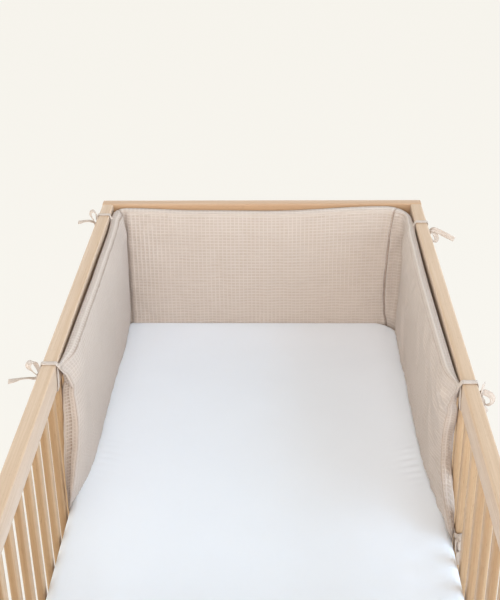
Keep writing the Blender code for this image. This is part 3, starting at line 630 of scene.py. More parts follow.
def pad_columns(run):
    """Places of the mesh's columns, and their ridges."""
    places, ridges = [], []
    for start, stop in run.panels():
        more, more_ridges = seam_to_seam(start, stop, CELL_WIDTH)
        places += more
        ridges += more_ridges
    return np.array(places + [run.length]), np.array(ridges + [1], float)


def pad_rows():
    """Heights of the mesh's rows on a face, as shares, and their ridges."""
    heights, ridges = seam_to_seam(0.0, FACE_HEIGHT, CELL_HEIGHT)
    return np.array(heights + [FACE_HEIGHT]) / FACE_HEIGHT, np.array(ridges + [1], float)


def section_loops(run, s, v, strip):
    """The pad's points: one row for each column s, running up the front, over the top, down the back."""
    s, v = s[:, None], v[None, :]
    front_offset, back_offset = pad_offsets(run, s, v)
    front = pad_point(run, s, v, front_offset, -0.003 * ease((v - 0.9) / 0.1))
    set_back = run.by_side(s, 0.015, -0.005) * ease(v / 0.25) * ease((1.0 - v) / 0.15)
    back = pad_point(run, s, v, back_offset, 0.0, set_back * near(run.to_end(s), 0.040))
    share = strip[None, :, None]
    bow = 4.0 * share * (1.0 - share) * np.array((0.0, 0.0, STRIP_SWELL))
    top = front[:, -1:] * (1 - share) + back[:, -1:] * share + bow
    bottom = back[:, :1] * (1 - share) + front[:, :1] * share - bow
    return np.concatenate((front, top, back[:, ::-1], bottom), axis=1)


def simulate_front(run):
    """How far the front's cloth moves, as a coarse grid over the run and the height.

    The cover is a little larger than the pad it is sewn round, so under the filling's pressure it swells
    and puckers between its seams. Seams, strip and back are held.
    """
    places = np.concatenate([np.linspace(a, b, round((b - a) / 0.011), endpoint=False)
                             for a, b in run.panels()] + [[run.length]])
    rows = np.linspace(0.0, 1.0, 27)
    grid = section_loops(run, places, rows, np.array((0.5,)))
    columns, around = grid.shape[:2]
    index = np.arange(columns * around).reshape(columns, around)
    faces = ring_faces(index[:-1], index[1:]).tolist() + [index[0].tolist(), index[-1, ::-1].tolist()]
    pad = make_object("pad_cloth", grid.reshape(-1, 3), faces, bpy.data.materials.new("pad_cloth"))
    inner = np.isin(places, [a for a, b in run.panels()] + [run.length], invert=True)
    free = index[inner][:, 1:len(rows) - 1].ravel()
    held = pad.vertex_groups.new(name="held")
    held.add([int(i) for i in np.setdiff1d(index.ravel(), free)], 1.0, "REPLACE")

    cloth = pad.modifiers.new("Cloth", "CLOTH")
    for key, value in CLOTH_SETTINGS.items():
        setattr(cloth.settings, key, value)
    cloth.settings.effector_weights.gravity = 0.0
    cloth.collision_settings.use_collision = False
    cloth.point_cache.frame_end = CLOTH_FRAMES
    for frame in range(1, CLOTH_FRAMES + 1):
        bpy.context.scene.frame_set(frame)
    shaped = pad.evaluated_get(bpy.context.evaluated_depsgraph_get())
    moved = np.array([v.co for v in shaped.data.vertices]).reshape(grid.shape) - grid
    bpy.context.scene.frame_set(1)
    bpy.data.objects.remove(pad, do_unlink=True)
    moved = moved[:, :len(rows)]
    moved = moved - blur(blur(moved, 9).swapaxes(0, 1), 9).swapaxes(0, 1)
    reach = np.linalg.norm(moved, axis=-1, keepdims=True)
    share = run.by_panel(places, 0.35, 0.5, 0.9)[:, None, None]
    return places, rows, moved * share * np.minimum(1.0, MOST_SWELL / np.maximum(reach, 1e-9))


def blur(values, width):
    """Running means along the first axis, with the ends carried on."""
    half = width // 2
    padded = np.concatenate([values[:1]] * half + [values] + [values[-1:]] * half)
    total = np.cumsum(np.concatenate((np.zeros_like(padded[:1]), padded)), axis=0)
    return (total[width:] - total[:-width]) / width


def front_folds(run, s, v):
    """Folds of the front: drag lines from the seams and ties, as heights over the face."""
    height = v * FACE_HEIGHT
    lumps = 0.0005 * soft_noise(s, height, 0.060, 3) + 0.0003 * soft_noise(s, height, 0.024, 4)
    lumps = lumps * run.by_panel(s, 0.5, 1.0, 1.0)
    past = s - run.right_seam
    slant = np.sin((past * 0.86 + (FACE_HEIGHT - height) * 0.42) / 0.0052)
    drag = 0.0017 * slant * ease(past / 0.008) * ease((0.062 - past) / 0.030) * ease((v - 0.45) / 0.45)
    to_seam = run.to_seam(s)
    tuck = 0.0007 * soft_noise(to_seam * 0.3, height, 0.011, 8) * near(to_seam, 0.014)
    to_edge = np.minimum(v, 1.0 - v) * FACE_HEIGHT
    pucker = 0.0007 * soft_noise(s, to_edge * 0.3, 0.010, 9) * near(to_edge, 0.012)
    return lumps + drag + tuck + pucker


def between_bars(points):
    """How far the back sinks between the bars: 0 at a bar, 1 midway between two."""
    along_side = np.cos((points[..., 1] - HALF_INNER + FIRST_SLAT) * 2 * math.pi / SIDE_PITCH)
    along_head = np.cos((points[..., 0] - END_PITCH / 2) * 2 * math.pi / END_PITCH)
    at_head = points[..., 1] > SPINE_Y
    return 0.5 - 0.5 * np.where(at_head, along_head, along_side)


def woven_share(gap):
    """How much of the weave shows at a distance from a seam: the cloth beside it is plain."""
    return np.clip((gap - 0.0014) / 0.0018, 0.0, 1.0)


def build_bumper(run, material):
    """The cover in one closed mesh: each column runs up the front, over the strip and down the back."""
    columns, column_ridge = pad_columns(run)
    rows, row_ridge = pad_rows()
    count, strip = len(rows), len(STRIP_ROWS)
    points = section_loops(run, columns, rows, STRIP_ROWS)
    around = points.shape[1]

    places, heights, moved = simulate_front(run)
    moved = catmull(moved, np.interp(columns, places, np.arange(len(places))))
    moved = catmull(moved.swapaxes(0, 1), np.interp(rows, heights, np.arange(len(heights))))
    points[:, :count] += moved.swapaxes(0, 1)

    # Distances to the nearest seam, for every point of the grid.
    s = columns[:, None]
    to_seam, to_end = run.to_seam(s), run.to_end(s)
    height = rows[None, :] * FACE_HEIGHT
    face_gap = np.minimum(height, FACE_HEIGHT - height)
    strip_gap = np.minimum(STRIP_ROWS, 1.0 - STRIP_ROWS)[None, :] * GUSSET
    gap = np.concatenate((face_gap, strip_gap, face_gap, strip_gap), axis=1)
    gap = np.minimum(gap, np.minimum(to_end, to_seam))

    # The weave's relief, the seams, the topstitching, and painted shade on the left panel's plain cloth
    # beside its seams.
    column_ridge = column_ridge[:, None]
    ridge = np.concatenate((row_ridge, STRIP_RIDGES, row_ridge[::-1], STRIP_RIDGES))[None, :]
    weave = woven_share(gap)
    hollow = (1 - column_ridge) * (1 - ridge)
    relief = 1.0 - weave * (hollow + 0.10 * (2 - column_ridge - ridge) * (1 - hollow))
    seam = run.by_panel(s, 1.0, 0.55, 1.0) * near(gap, SEAM_WIDTH)
    seam = np.maximum(seam, 1.15 * near(to_seam, 0.0022))
    to_line = np.minimum(np.abs(FACE_HEIGHT - height - STITCH_GAP), np.abs(to_end - STITCH_GAP))
    sewn = run.by_panel(s, 0.32, 0.15, 0.50) * ease((to_seam - 0.008) / 0.01)
    stitched = 0 * relief
    stitched[:, :count] = sewn * near(to_line, STITCH_WIDTH)
    # Painted shade: the left panel's plain cloth beside its seams is darkened, away from the free end.
    pressed = run.by_panel(s, 0.55, 0.0, 0.0) * (1.0 - weave) * ease((to_end - 0.02) / 0.04)

    along = np.gradient(points, axis=0)
    up = np.roll(points, -1, axis=1) - np.roll(points, 1, axis=1)
    normal = unit(np.cross(along, up))
    push = WAFFLE_DEPTH * (relief - 1.0) - SEAM_DEPTH * (seam + 0.6 * stitched)
    push[:, :count] += front_folds(run, s, rows[None, :])
    back = slice(count + strip, 2 * count + strip)
    below = ease((RAIL_TOP - RAIL_DEPTH - 0.01 - points[:, back, 2]) / 0.03) * weave[:, back]
    push[:, back] += 0.0016 * between_bars(points[:, back]) * below
    points = points + normal * push[..., None]

    verts = [points.reshape(-1, 3)]
    values = {"tone": [PLAIN_TONE - 0.95 * seam - 0.9 * stitched - pressed], "weave": [weave],
              "cell_along": [cell_phase(column_ridge[:, 0])[:, None] + 0 * weave],
              "cell_up": [cell_phase(ridge[0])[None, :] + 0 * weave]}
    index = np.arange(len(columns) * around).reshape(len(columns), around)
    faces = [ring_faces(index[:-1], index[1:])]
    height, strip_height = height.ravel(), GUSSET * STRIP_ROWS
    girth = np.concatenate((height, FACE_HEIGHT + strip_height, FACE_HEIGHT + GUSSET + height,
                            2 * FACE_HEIGHT + GUSSET + strip_height, [2 * (FACE_HEIGHT + GUSSET)]))
    uvs = [cell_uvs(*np.meshgrid(columns, girth, indexing="ij"))]
    start = index.size
    for end in (0, -1):
        cap, cap_faces, cap_uvs, cap_values = end_cap(points, index[end], end, rows, row_ridge, start)
        verts.append(cap)
        for name, more in cap_values.items():
            values[name].append(more)
        faces.append(cap_faces)
        uvs.append(cap_uvs)
        start += len(cap)
    bumper = make_object("bumper_cover", np.concatenate(verts), np.concatenate(faces), material,
                         np.concatenate(uvs))
    for name, parts in values.items():
        add_values(bumper, name, np.concatenate([part.ravel() for part in parts]))
    return bumper


def end_cap(points, edge, end, rows, row_ridge, start):
    """The boxing strip across a free end (0 left, -1 right), between the last columns of front and back."""
    count, strip = len(rows), len(STRIP_ROWS)
    face, other_face = slice(0, count), slice(count + strip, 2 * count + strip)
    front, back = points[end, face], points[end, other_face][::-1]
    share, v = STRIP_ROWS[None, :], rows[1:-1, None]
    flat = front[1:-1, None] * (1 - share[..., None]) + back[1:-1, None] * share[..., None]
    gap = np.minimum(np.minimum(share, 1 - share) * GUSSET, np.minimum(v, 1 - v) * FACE_HEIGHT)
    weave = woven_share(gap)
    relief = 1 - (1 - row_ridge[1:-1, None]) * (1 - STRIP_RIDGES) * weave
    swell = STRIP_SWELL * 4 * share * (1 - share)
    tone = PLAIN_TONE - 0.8 * near(gap, SEAM_WIDTH)
    past_seam = (share - MIDDLE_SEAM) / (1 - MIDDLE_SEAM)
    if end == 0:
        # On the left the strip has a seam of its own, and is tucked under where the upper corner folds over.
        middle_seam = near((share - MIDDLE_SEAM) * GUSSET, 0.0013)
        fold = 0.806 + 0.02 * share
        tuck = near(v - fold, 0.009) * ease(share / 0.25)
        swell = 0.0030 * np.sin(math.pi * np.clip(share / MIDDLE_SEAM, 0, 1))
        swell = swell + 0.0012 * np.sin(math.pi * np.clip(past_seam, 0, 1))
        swell = swell - SEAM_DEPTH * middle_seam - 0.0035 * tuck
        swell = swell + 0.0050 * ease((v - fold) / 0.020) * ease((1.0 - v) / 0.12)
        # Painted shade: darker in the tuck and over the back half of the strip.
        tone = tone - 0.6 * middle_seam - 0.8 * tuck - 0.15 * ease((share - MIDDLE_SEAM) / 0.1)
    swell = swell + 0.0008 * soft_noise(v * FACE_HEIGHT, share, 0.016, 12)
    flat[..., 1] -= swell + WAFFLE_DEPTH * (relief - 1)

    grid = np.empty((count, strip + 2), int)
    grid[:, 0] = edge[face]
    grid[:, -1] = edge[other_face][::-1]
    grid[0, 1:-1] = edge[2 * count + strip:][::-1]
    grid[-1, 1:-1] = edge[count:count + strip]
    grid[1:-1, 1:-1] = start + np.arange((count - 2) * strip).reshape(count - 2, strip)
    across = np.concatenate(([0.0], STRIP_ROWS, [1.0])) * GUSSET
    a, b = np.meshgrid(rows * FACE_HEIGHT, across, indexing="ij")
    turn = slice(None, None, -1 if end else 1)
    faces = np.stack(cell_corners(grid)[turn], -1).reshape(-1, 4)
    uvs = cell_uvs(b + 3.0 + end, a, turn)
    # The strip is cut across the weave, so its cells run aslant.
    values = {"tone": tone, "weave": weave, "cell_along": cell_phase(STRIP_RIDGES)[None, :] + 0 * weave,
              "cell_up": 1.3 * cell_phase(row_ridge)[1:-1, None] + 1.1 * ease(past_seam) + 0 * weave}
    return flat.reshape(-1, 3), faces, uvs, values


# ---------------- mattress


def half_width(run, y, side):
    """Half width of the mattress: pressed against the bumper, free past its end."""
    end_y, straight = (LEFT_END_Y, run.left) if side < 0 else (RIGHT_END_Y, run.right)
    inside = np.clip(y - end_y, 0.0, straight)
    front = pad_offsets(run, inside if side < 0 else run.length - inside, TOUCH_SHARE)[0]
    squeezed = SPINE_X - front + SIDE_SQUEEZE
    return squeezed + (MATTRESS_FREE - squeezed) * ease((end_y + 0.012 - y) / 0.045)


def near_edges(low, high, steps, count):
    """Places from low to high: close together at both ends, as steps says, and evenly spread between."""
    steps = np.array(steps)
    middle = np.linspace(low + steps[-1], high - steps[-1], count)
    return np.concatenate((low + steps[:-1], middle, high - steps[:-1][::-1]))


def corner_draw(gap, radius):
    """How far the outline is drawn in beside a corner, at a distance from the end."""
    inside = np.clip(radius - gap, 0.0, radius)
    return radius - np.sqrt(radius ** 2 - inside ** 2)


def build_mattress(run, material):
    """A foam mattress in a fitted sheet: a grid of its top, its sides and a plain underside."""
    head = SPINE_Y - pad_offsets(run, np.array(0.9), TOUCH_SHARE)[0] + HEAD_SQUEEZE
    foot = -HALF_INNER + FOOT_GAP
    y = near_edges(foot, head, MATTRESS_STEPS, MATTRESS_GRID[0])[:, None]
    share = near_edges(-MATTRESS_GRID_HALF, MATTRESS_GRID_HALF, MATTRESS_STEPS, MATTRESS_GRID[1])[None, :]
    share = share / MATTRESS_GRID_HALF
    left, right = (
        half_width(run, y, side) - corner_draw(head - y, radius) - corner_draw(y - foot, MATTRESS_FOOT_R)
        for side, radius in ((-1, MATTRESS_LEFT_R), (1, MATTRESS_RIGHT_R)))
    x = np.where(share > 0, share * right, share * left)
    y = y + 0 * x
    to_side = np.where(share > 0, right - x, left + x)
    to_edge = np.minimum(to_side, np.minimum(head - y, y - foot))
    end_y = np.where(share > 0, RIGHT_END_Y, LEFT_END_Y)
    pressed = ease((y - end_y + 0.010) / 0.05) * (to_edge < 0.03)
    drop = SHEET_DROP - SHEET_PRESSED * pressed
    round_off = drop * (1.0 - np.sqrt(1.0 - (1.0 - np.clip(to_edge / (drop + 0.003), 0.0, 1.0)) ** 2.2))
    inner = ease(to_edge / 0.05)
    swell = 0.0007 * soft_noise(x, y, 0.16, 21) * inner + 0.0005 * soft_noise(x * 1.6, y * 0.7, 0.07, 22)
    wave = np.sin((y + 0.35 * to_side) / 0.0030 + 2.2 * soft_noise(x, y, 0.05, 23))
    pull_y = np.where(share > 0, 0.065, 0.080)
    pull = near(to_side, 0.040) * near(y - pull_y, 0.048)
    z = MATTRESS_TOP - round_off + swell * np.clip(to_edge / 0.02, 0, 1)
    z = z + 0.0010 * wave * pull * ease(to_edge / 0.02)

    rows, columns = x.shape
    top = np.stack((x, y, z), -1)
    ring = np.concatenate([np.arange(columns), columns * np.arange(1, rows) + columns - 1,
                           columns * (rows - 1) + np.arange(columns - 2, -1, -1),
                           columns * np.arange(rows - 2, 0, -1)])
    edge = top.reshape(-1, 3)[ring]
    from_middle = edge[:, :2] - (0.0, (head + foot) / 2)
    inward = np.sign(from_middle) * (0.5 + 0.5 * (np.abs(from_middle) > 0.2))
    walls = []
    for depth, inset in MATTRESS_WALL:
        wall = edge.copy()
        wall[:, :2] -= inset * inward
        wall[:, 2] = MATTRESS_TOP - depth
        walls.append(wall)
    index = np.arange(rows * columns).reshape(rows, columns)
    faces = np.stack(cell_corners(index), -1).reshape(-1, 4)[:, (0, 3, 2, 1)].tolist()
    rings = [ring] + [rows * columns + k * len(ring) + np.arange(len(ring)) for k in range(len(walls))]
    for upper, lower in zip(rings, rings[1:]):
        faces += ring_faces(upper, lower).tolist()
    faces.append(rings[-1][::-1].tolist())
    verts = np.concatenate([top.reshape(-1, 3)] + walls)
    flat = np.stack((verts[:, 0] * (1 + 0.3 * (MATTRESS_TOP - verts[:, 2])), verts[:, 1] + verts[:, 2]), -1)
    return make_object("mattress_sheet", verts, faces, material, flat=flat)


# ---------------- wood


def board(boxes, name, material, along, rounding, seed):
    """Rounded boards in one piece; along is the axis of the grain, and each board has its own grain."""
    bm = bmesh.new()
    grain = bm.verts.layers.float_vector.new("grain")
    order = (along, (along + 1) % 3, (along + 2) % 3)

    def goes_along(edge):
        return abs((edge.verts[0].co - edge.verts[1].co)[along]) > 1e-6

    def end_faces(edge):
        return {face.normal.to_tuple(2) for face in edge.link_faces if abs(face.normal[along]) > 0.9}

    for number, (low, high) in enumerate(boxes):
        low, high = Vector(low), Vector(high)
        old = set(bm.verts)
        place = Matrix.Translation((low + high) / 2) @ Matrix.Diagonal((*(high - low), 1.0))
        bmesh.ops.create_cube(bm, size=1.0, matrix=place)
        long_edges = [e for e in bm.edges if e.verts[0] not in old and goes_along(e)]
        bmesh.ops.bevel(bm, geom=long_edges, offset=rounding, segments=4, profile=0.5, affect="EDGES")
        rims = [e for e in bm.edges
                if e.verts[0] not in old and not goes_along(e) and len(end_faces(e)) == 1]
        if rims:
            bmesh.ops.bevel(bm, geom=rims, offset=0.0006, segments=1, profile=0.5, affect="EDGES")
        shift = Vector((0.37, 0.11, 0.23)) * (seed * 17 + number * 3.7)
        for v in bm.verts:
            if v not in old:
                v[grain] = Vector([v.co[axis] for axis in order]) + shift
    bmesh.ops.recalc_face_normals(bm, faces=bm.faces)
    obj = bmesh_object(bm, name, material)
    obj.data.set_sharp_from_angle(angle=math.radians(40))
    return obj


def middles(count, pitch):
    """Even places round 0."""
    return [(i - (count - 1) / 2) * pitch for i in range(count)]


def lay_faces(piece, material, axis, sign, facing=0.8):
    """The faces that look along one axis get a material of their own: painted shade on that side."""
    piece.data.materials.append(material)
    for polygon in piece.data.polygons:
        polygon.material_index = int(polygon.normal[axis] * sign > facing)


def build_grille(name, axis, span, top_reach, low_reach, slats, woods, seed):
    """A top rail, a low rail and bars. The rails run along the axis (0 or 1), and span is their width."""
    material, inner_face_shade, bar_material, bar_face_shade = woods

    def box(across, along, up):
        spans = (across, along, up) if axis else (along, across, up)
        return tuple(zip(*spans))

    top = board([box(span, (-top_reach, top_reach), (RAIL_TOP - RAIL_DEPTH, RAIL_TOP))],
                name + "_top_rail", material, axis, RAIL_ROUNDING, seed)
    # Painted shade: the top rail's inner face gets its own material, darker on the ends and greyer on the
    # sides.
    lay_faces(top, inner_face_shade, 1 - axis, -np.sign(span[0]))
    low = board([box(span, (-low_reach, low_reach), (LOW_RAIL_Z, LOW_RAIL_Z + RAIL_DEPTH))],
                name + "_low_rail", material, axis, RAIL_ROUNDING, seed + 1)
    middle = (span[0] + span[1]) / 2
    across = (middle - SLAT_THICK / 2, middle + SLAT_THICK / 2)
    up = (LOW_RAIL_Z + RAIL_DEPTH - BAR_SINK, RAIL_TOP - RAIL_DEPTH + BAR_SINK)
    bars = board([box(across, (at - SLAT_WIDTH / 2, at + SLAT_WIDTH / 2), up) for at in middles(*slats)],
                 name + "_bars", bar_material, 2, BAR_ROUNDING, seed + 2)
    # Painted shade: the bars' faces towards the foot get their own material, which is darker on the left
    # side.
    if bar_face_shade:
        lay_faces(bars, bar_face_shade, 1, -1, 0.6)
    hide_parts(name)
    return [top, low, bars]


def build_side(name, sign, woods, seed):
    span = sorted((sign * RAIL_INNER_X, sign * HALF_WIDTH))
    reach = HALF_INNER - SEAT
    return build_grille(name, 1, span, reach, reach, (SIDE_SLATS, SIDE_PITCH), woods, seed)


def build_end(name, sign, woods, seed):
    span = sorted((sign * HALF_INNER, sign * HALF_LENGTH))
    return build_grille(name, 0, span, HALF_WIDTH, HALF_WIDTH - POST_WIDTH - SEAT, (END_SLATS, END_PITCH),
                        woods, seed)


def build_post(name, side, end, material, seed):
    x0, x1 = sorted((side * (HALF_WIDTH - POST_WIDTH), side * HALF_WIDTH))
    y0, y1 = sorted((end * HALF_INNER, end * HALF_LENGTH))
    post = board([((x0, y0, 0.0), (x1, y1, RAIL_TOP - RAIL_DEPTH - SEAT))], name + "_wood", material, 2,
                 RAIL_ROUNDING, seed)
    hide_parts(name)
    return [post]


def build_base(material):
    top = MATTRESS_TOP - MATTRESS_THICK - SEAT
    bearer_top = top - BASE_SLAT_THICK
    x0 = HALF_WIDTH - POST_WIDTH
    x1 = x0 + BEARER_SIZE - BASE_GAP
    reach = HALF_INNER - SEAT
    across = RAIL_INNER_X - BASE_GAP
    bearers = board([((x0, -reach, bearer_top - BEARER_SIZE), (x1, reach, bearer_top)),
                     ((-x1, -reach, bearer_top - BEARER_SIZE), (-x0, reach, bearer_top))],
                    "base_bearers", material, 1, BASE_ROUNDING, 71)
    pitch = (INNER_LENGTH - 2 * BASE_END_GAP) / (BASE_SLATS - 1)
    slats = board([((-across, y - BASE_SLAT_WIDTH / 2, bearer_top), (across, y + BASE_SLAT_WIDTH / 2, top))
                   for y in middles(BASE_SLATS, pitch)],
                  "base_slats", material, 0, BASE_ROUNDING, 72)
    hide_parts("mattress_base")
    return [bearers, slats]


# ---------------- ties

# Points of each tape, listed one by one. On the top rails they are measured from the rail's middle at its
# top:
# outward, towards the head, and up. A row may end with the direction in which the tape's width points. A row
# without one takes the direction given for its tie.
ACROSS = (0.0, 1.0, 0.0)
UPRIGHT = (0.0, 0.0, 1.0)
HALF_RAIL = SIDE_RAIL_WIDTH / 2


def over_strand(top_seam):
    """From the bumper's top seam over the rail to the knot on the rail's outer face."""
    inner, outer = -HALF_RAIL, HALF_RAIL
    return (
        (-0.0172, 0, top_seam - 0.0022), (-0.016, 0, top_seam + 0.0012), (-0.0136, 0, top_seam + 0.0028),
        (inner - 0.001, 0, -0.0008), (inner + 0.002, 0, 0.0012), (0, 0, 0.001), (outer - 0.002, 0, 0.0012),
        (outer + 0.0006, 0, 0), (outer + 0.0012, 0, -0.006), (outer + 0.0018, 0, -0.014),
        (outer + 0.0045, 0, -0.021),
    )


def under_strand(drift, top_seam):
    """From the bumper's top seam down the rail's inner face, under it and up to the knot."""
    inner, outer, under = -HALF_RAIL, HALF_RAIL, -RAIL_DEPTH
    return (
        (-0.017, 0.0008, top_seam - 0.003), (-0.0156, 0.0006, top_seam + 0.0002),
        (-0.0136, 0.0006, top_seam - 0.0006), (inner - 0.0014, 0.0006 + drift * 0.2, -0.012),
        (inner - 0.0011, drift * 0.8, -0.03), (inner - 0.0008, drift, under + 0.0015),
        (inner + 0.0012, drift, under - 0.0011), (0, drift, under - 0.0016),
        (outer - 0.0012, drift, under - 0.0011), (outer + 0.0009, drift, under + 0.0015),
        (outer + 0.0014, drift * 0.6, -0.033), (outer + 0.0045, drift * 0.1, -0.0245),
    )


LEFT_NEAR_LOOP = (
    (0.0185, -0.001, -0.022, 0.6, 0.75, 0), (0.0235, -0.004, -0.014, 0.7, 0.65, 0.1),
    (0.0285, -0.007, -0.006, 0.85, 0.45, 0.1), (0.0305, -0.006, 0, 0.9, 0.4, 0.1),
    (0.0285, -0.001, 0.003, 0.9, 0.4, 0.1), (0.025, 0.004, 0.002, 0.95, 0.35, 0.1),
    (0.022, 0.0065, -0.005, 0.95, 0.3, 0), (0.0185, 0.005, -0.013, 0.8, 0.6, 0),
    (0.0155, 0.001, -0.0205, 0.5, 0.85, 0),
)
LEFT_NEAR_END = (
    (0.0165, 0, -0.0235), (0.024, -0.002, -0.025, 0.2, 0.95, -0.1),
    (0.033, -0.003, -0.0238, 0.2, 0.93, -0.25), (0.044, -0.004, -0.0245, 0.2, 0.93, -0.25),
    (0.0545, -0.004, -0.0275, 0.1, 0.95, 0.05), (0.0655, -0.004, -0.0297, 0.1, 0.93, 0.35),
)
LEFT_FAR_LOOP = (
    (0.0148, 0, -0.02), (0.0152, 0.0005, -0.011, 0.4, 0.9, 0), (0.015, 0, -0.001, 0.45, 0.9, 0),
    (0.0165, -0.001, 0.0055, 0.3, 0.9, 0.2), (0.0215, -0.002, 0.0095, 0.1, 0.93, 0.35),
    (0.0262, -0.002, 0.0065, 0.4, 0.9, 0.2), (0.027, -0.002, 0, 0.6, 0.8, 0.1),
    (0.0235, -0.002, -0.0075, 0.6, 0.8, 0.2), (0.0205, -0.001, -0.015, 0.5, 0.85, 0.1),
    (0.0185, 0, -0.022),
)
LEFT_FAR_END = (
    (0.0165, 0, -0.023), (0.0215, -0.002, -0.015, 0.2, 0.95, 0.1),
    (0.03, -0.003, -0.0118, 0.1, 0.98, 0.05), (0.039, -0.003, -0.0122, 0.1, 0.98, 0.05),
    (0.0465, -0.003, -0.0138, 0, 0.95, 0.25), (0.053, -0.003, -0.015, 0, 0.9, 0.4),
)
RIGHT_FAR_LOOP = (
    (0.017, 0, -0.0195), (0.022, -0.003, -0.019, 0.5, 0.8, 0.3),
    (0.028, -0.005, -0.0245, 0.8, 0.4, 0.4), (0.0315, -0.0055, -0.032, 0.9, 0.4, 0.2),
    (0.03, -0.0045, -0.0395, 0.9, 0.4, -0.2), (0.025, -0.0025, -0.0415, 0.8, 0.6, -0.2),
    (0.0195, -0.001, -0.0345, 0.6, 0.8, 0), (0.0155, 0, -0.0255),
)
RIGHT_FAR_END = (
    (0.0165, 0, -0.0215), (0.02, -0.0015, -0.016, 0.1, 0.9, 0.4),
    (0.027, -0.003, -0.015, 0.3, 0.4, 0.8), (0.037, -0.004, -0.0195, 0.4, 0.2, 0.9),
    (0.048, -0.005, -0.025, 0.4, 0.2, 0.9), (0.058, -0.006, -0.03, 0.4, 0.2, 0.9),
    (0.066, -0.007, -0.034, 0.4, 0.2, 0.9),
)
RIGHT_NEAR_LOOP = (
    (0.016, 0, -0.0195), (0.0205, -0.0015, -0.0155, 0.2, 0.8, 0.6),
    (0.027, -0.003, -0.0165, 0.1, 0.6, 0.8), (0.033, -0.0035, -0.0205, 0.6, 0.5, 0.6),
    (0.036, -0.0035, -0.0275, 0.85, 0.5, 0.1), (0.034, -0.003, -0.0345, 0.6, 0.6, -0.6),
    (0.0285, -0.002, -0.037, 0.1, 0.7, -0.8), (0.0235, -0.001, -0.034, 0.5, 0.8, 0.4),
    (0.0205, 0, -0.029, 0.6, 0.8, 0.2), (0.0165, 0, -0.0255),
)
RIGHT_NEAR_END = (
    (0.0165, 0, -0.023, 0.4, 0.9, 0), (0.0185, -0.004, -0.015, 0.6, 0.8, 0),
    (0.0195, -0.005, -0.006, 0.55, 0.8, 0), (0.0205, -0.005, 0.0025, 0.5, 0.85, 0.1),
)
RIGHT_NEAR_DROP = (
    (0.0165, 0, -0.026), (0.019, -0.0035, -0.0345, 0.5, 0.85, 0),
    (0.0245, -0.0045, -0.043, 0.6, 0.8, 0.2), (0.029, -0.0045, -0.049, 0.5, 0.8, 0.4),
)

# The lower tie goes round one bar, measured from the bar's middle: outward, towards the head, and up.
RIGHT_LOW_STRAND = (
    (-0.007, -0.004, 0), (-0.007, 0.008, 0), (-0.005, 0.012, 0), (0.005, 0.012, 0),
    (0.007, 0.009, 0), (0.007, 0, 0), (0.007, -0.009, 0), (0.004, -0.0125, 0), (0, -0.0145, 0),
)
RIGHT_LOW_ROOT = (
    (-0.0074, -0.003, 0.0004), (-0.0074, -0.0105, 0.0004), (-0.0055, -0.0138, 0.0004),
    (-0.0015, -0.0155, 0),
)
RIGHT_LOW_LOOP = (
    (-0.002, -0.0165, 0.0005, 0.3, 0.4, 0.9), (-0.0042, -0.0195, -0.0045, 0.5, 0.4, 0.8),
    (-0.0058, -0.023, -0.0115, 0.5, 0.8, 0.2), (-0.0045, -0.0265, -0.0175, 0.6, 0.8, 0),
    (-0.001, -0.0265, -0.0165, 0.8, 0.6, 0), (0.0005, -0.023, -0.009, 0.9, 0.4, 0),
    (0.0005, -0.0185, -0.002, 1, 0, 0.2),
)
RIGHT_LOW_END = (
    (-0.0005, -0.0165, -0.001, 0.9, 0, 0.3), (-0.0015, -0.0205, -0.01, 0.9, 0.3, 0),
    (-0.001, -0.0245, -0.022, 0.9, 0.3, 0), (-0.001, -0.0265, -0.033, 0.9, 0.3, 0),
    (0, -0.0275, -0.044, 0.9, 0.4, 0),
)

# The ties on the top rails: name, side, place along the rail, drift of the strand under the rail, height of
# the bumper's top seam against the rail's top, and what follows the knot on each of the two tapes.
TOP_TIES = (
    ("tie_left_far", -1, 0.5475, 0.0170, -0.0085, LEFT_FAR_LOOP, LEFT_FAR_END),
    ("tie_left_near", -1, -0.0440, -0.0040, -0.0050, LEFT_NEAR_LOOP, LEFT_NEAR_END),
    ("tie_right_far", 1, 0.5075, 0.0065, -0.0065, RIGHT_FAR_LOOP, RIGHT_FAR_END),
    ("tie_right_near", 1, -0.0970, -0.0030, -0.0060, RIGHT_NEAR_LOOP + RIGHT_NEAR_DROP, RIGHT_NEAR_END),
)
TOP_KNOT = (HALF_RAIL + 0.0048, 0, -0.0225)
LOW_KNOT = (-0.0005, -0.0168, 0)
LOW_TIE_BAR = 11              # counted from the head
LOW_TIE_DEPTH = 0.2575        # under the rail's top
KNOT_SIZE = (0.0085, 0.0105, 0.0100)
TAPE_STEP = 0.0011            # between a tape's sections


def tape_frames(rows, lie, origin, side):
    """Even points along a tape's route, and its width direction at each; lie is the usual direction."""
    spots = np.array([row[:3] for row in rows]) * (side, 1, 1) + origin
    widths = np.array([row[3:] or lie for row in rows], float) * (side, 1, 1)
    fine = np.linspace(0, len(rows) - 1, 40 * len(rows))
    path, turn = catmull(spots, fine), catmull(widths, fine)
    length = np.concatenate(([0.0], np.cumsum(np.linalg.norm(np.diff(path, axis=0), axis=1))))
    even = np.linspace(0, length[-1], max(12, round(length[-1] / TAPE_STEP)))
    path, turn = (np.stack([np.interp(even, length, line[:, k]) for k in range(3)], -1)
                  for line in (path, turn))
    ahead = unit(np.gradient(path, axis=0))
    wide = unit(turn - ahead * np.sum(turn * ahead, -1, keepdims=True))
    for i in range(1, len(wide)):
        if wide[i] @ wide[i - 1] < 0:
            wide[i] = -wide[i]
    return path, wide, np.cross(ahead, wide), even


def tape_section(width, thick, cup):
    """A flat tape's section: thin, with rounded edges, a little cupped."""
    upper = ((1.0, 0.0), (0.93, 0.42), (0.55, 0.5), (0.0, 0.5), (-0.55, 0.5), (-0.93, 0.42))
    outline = upper + tuple((-x, -z) for x, z in upper)
    return np.array([(x * width / 2, z * thick + cup * (x ** 2 - 0.4)) for x, z in outline])


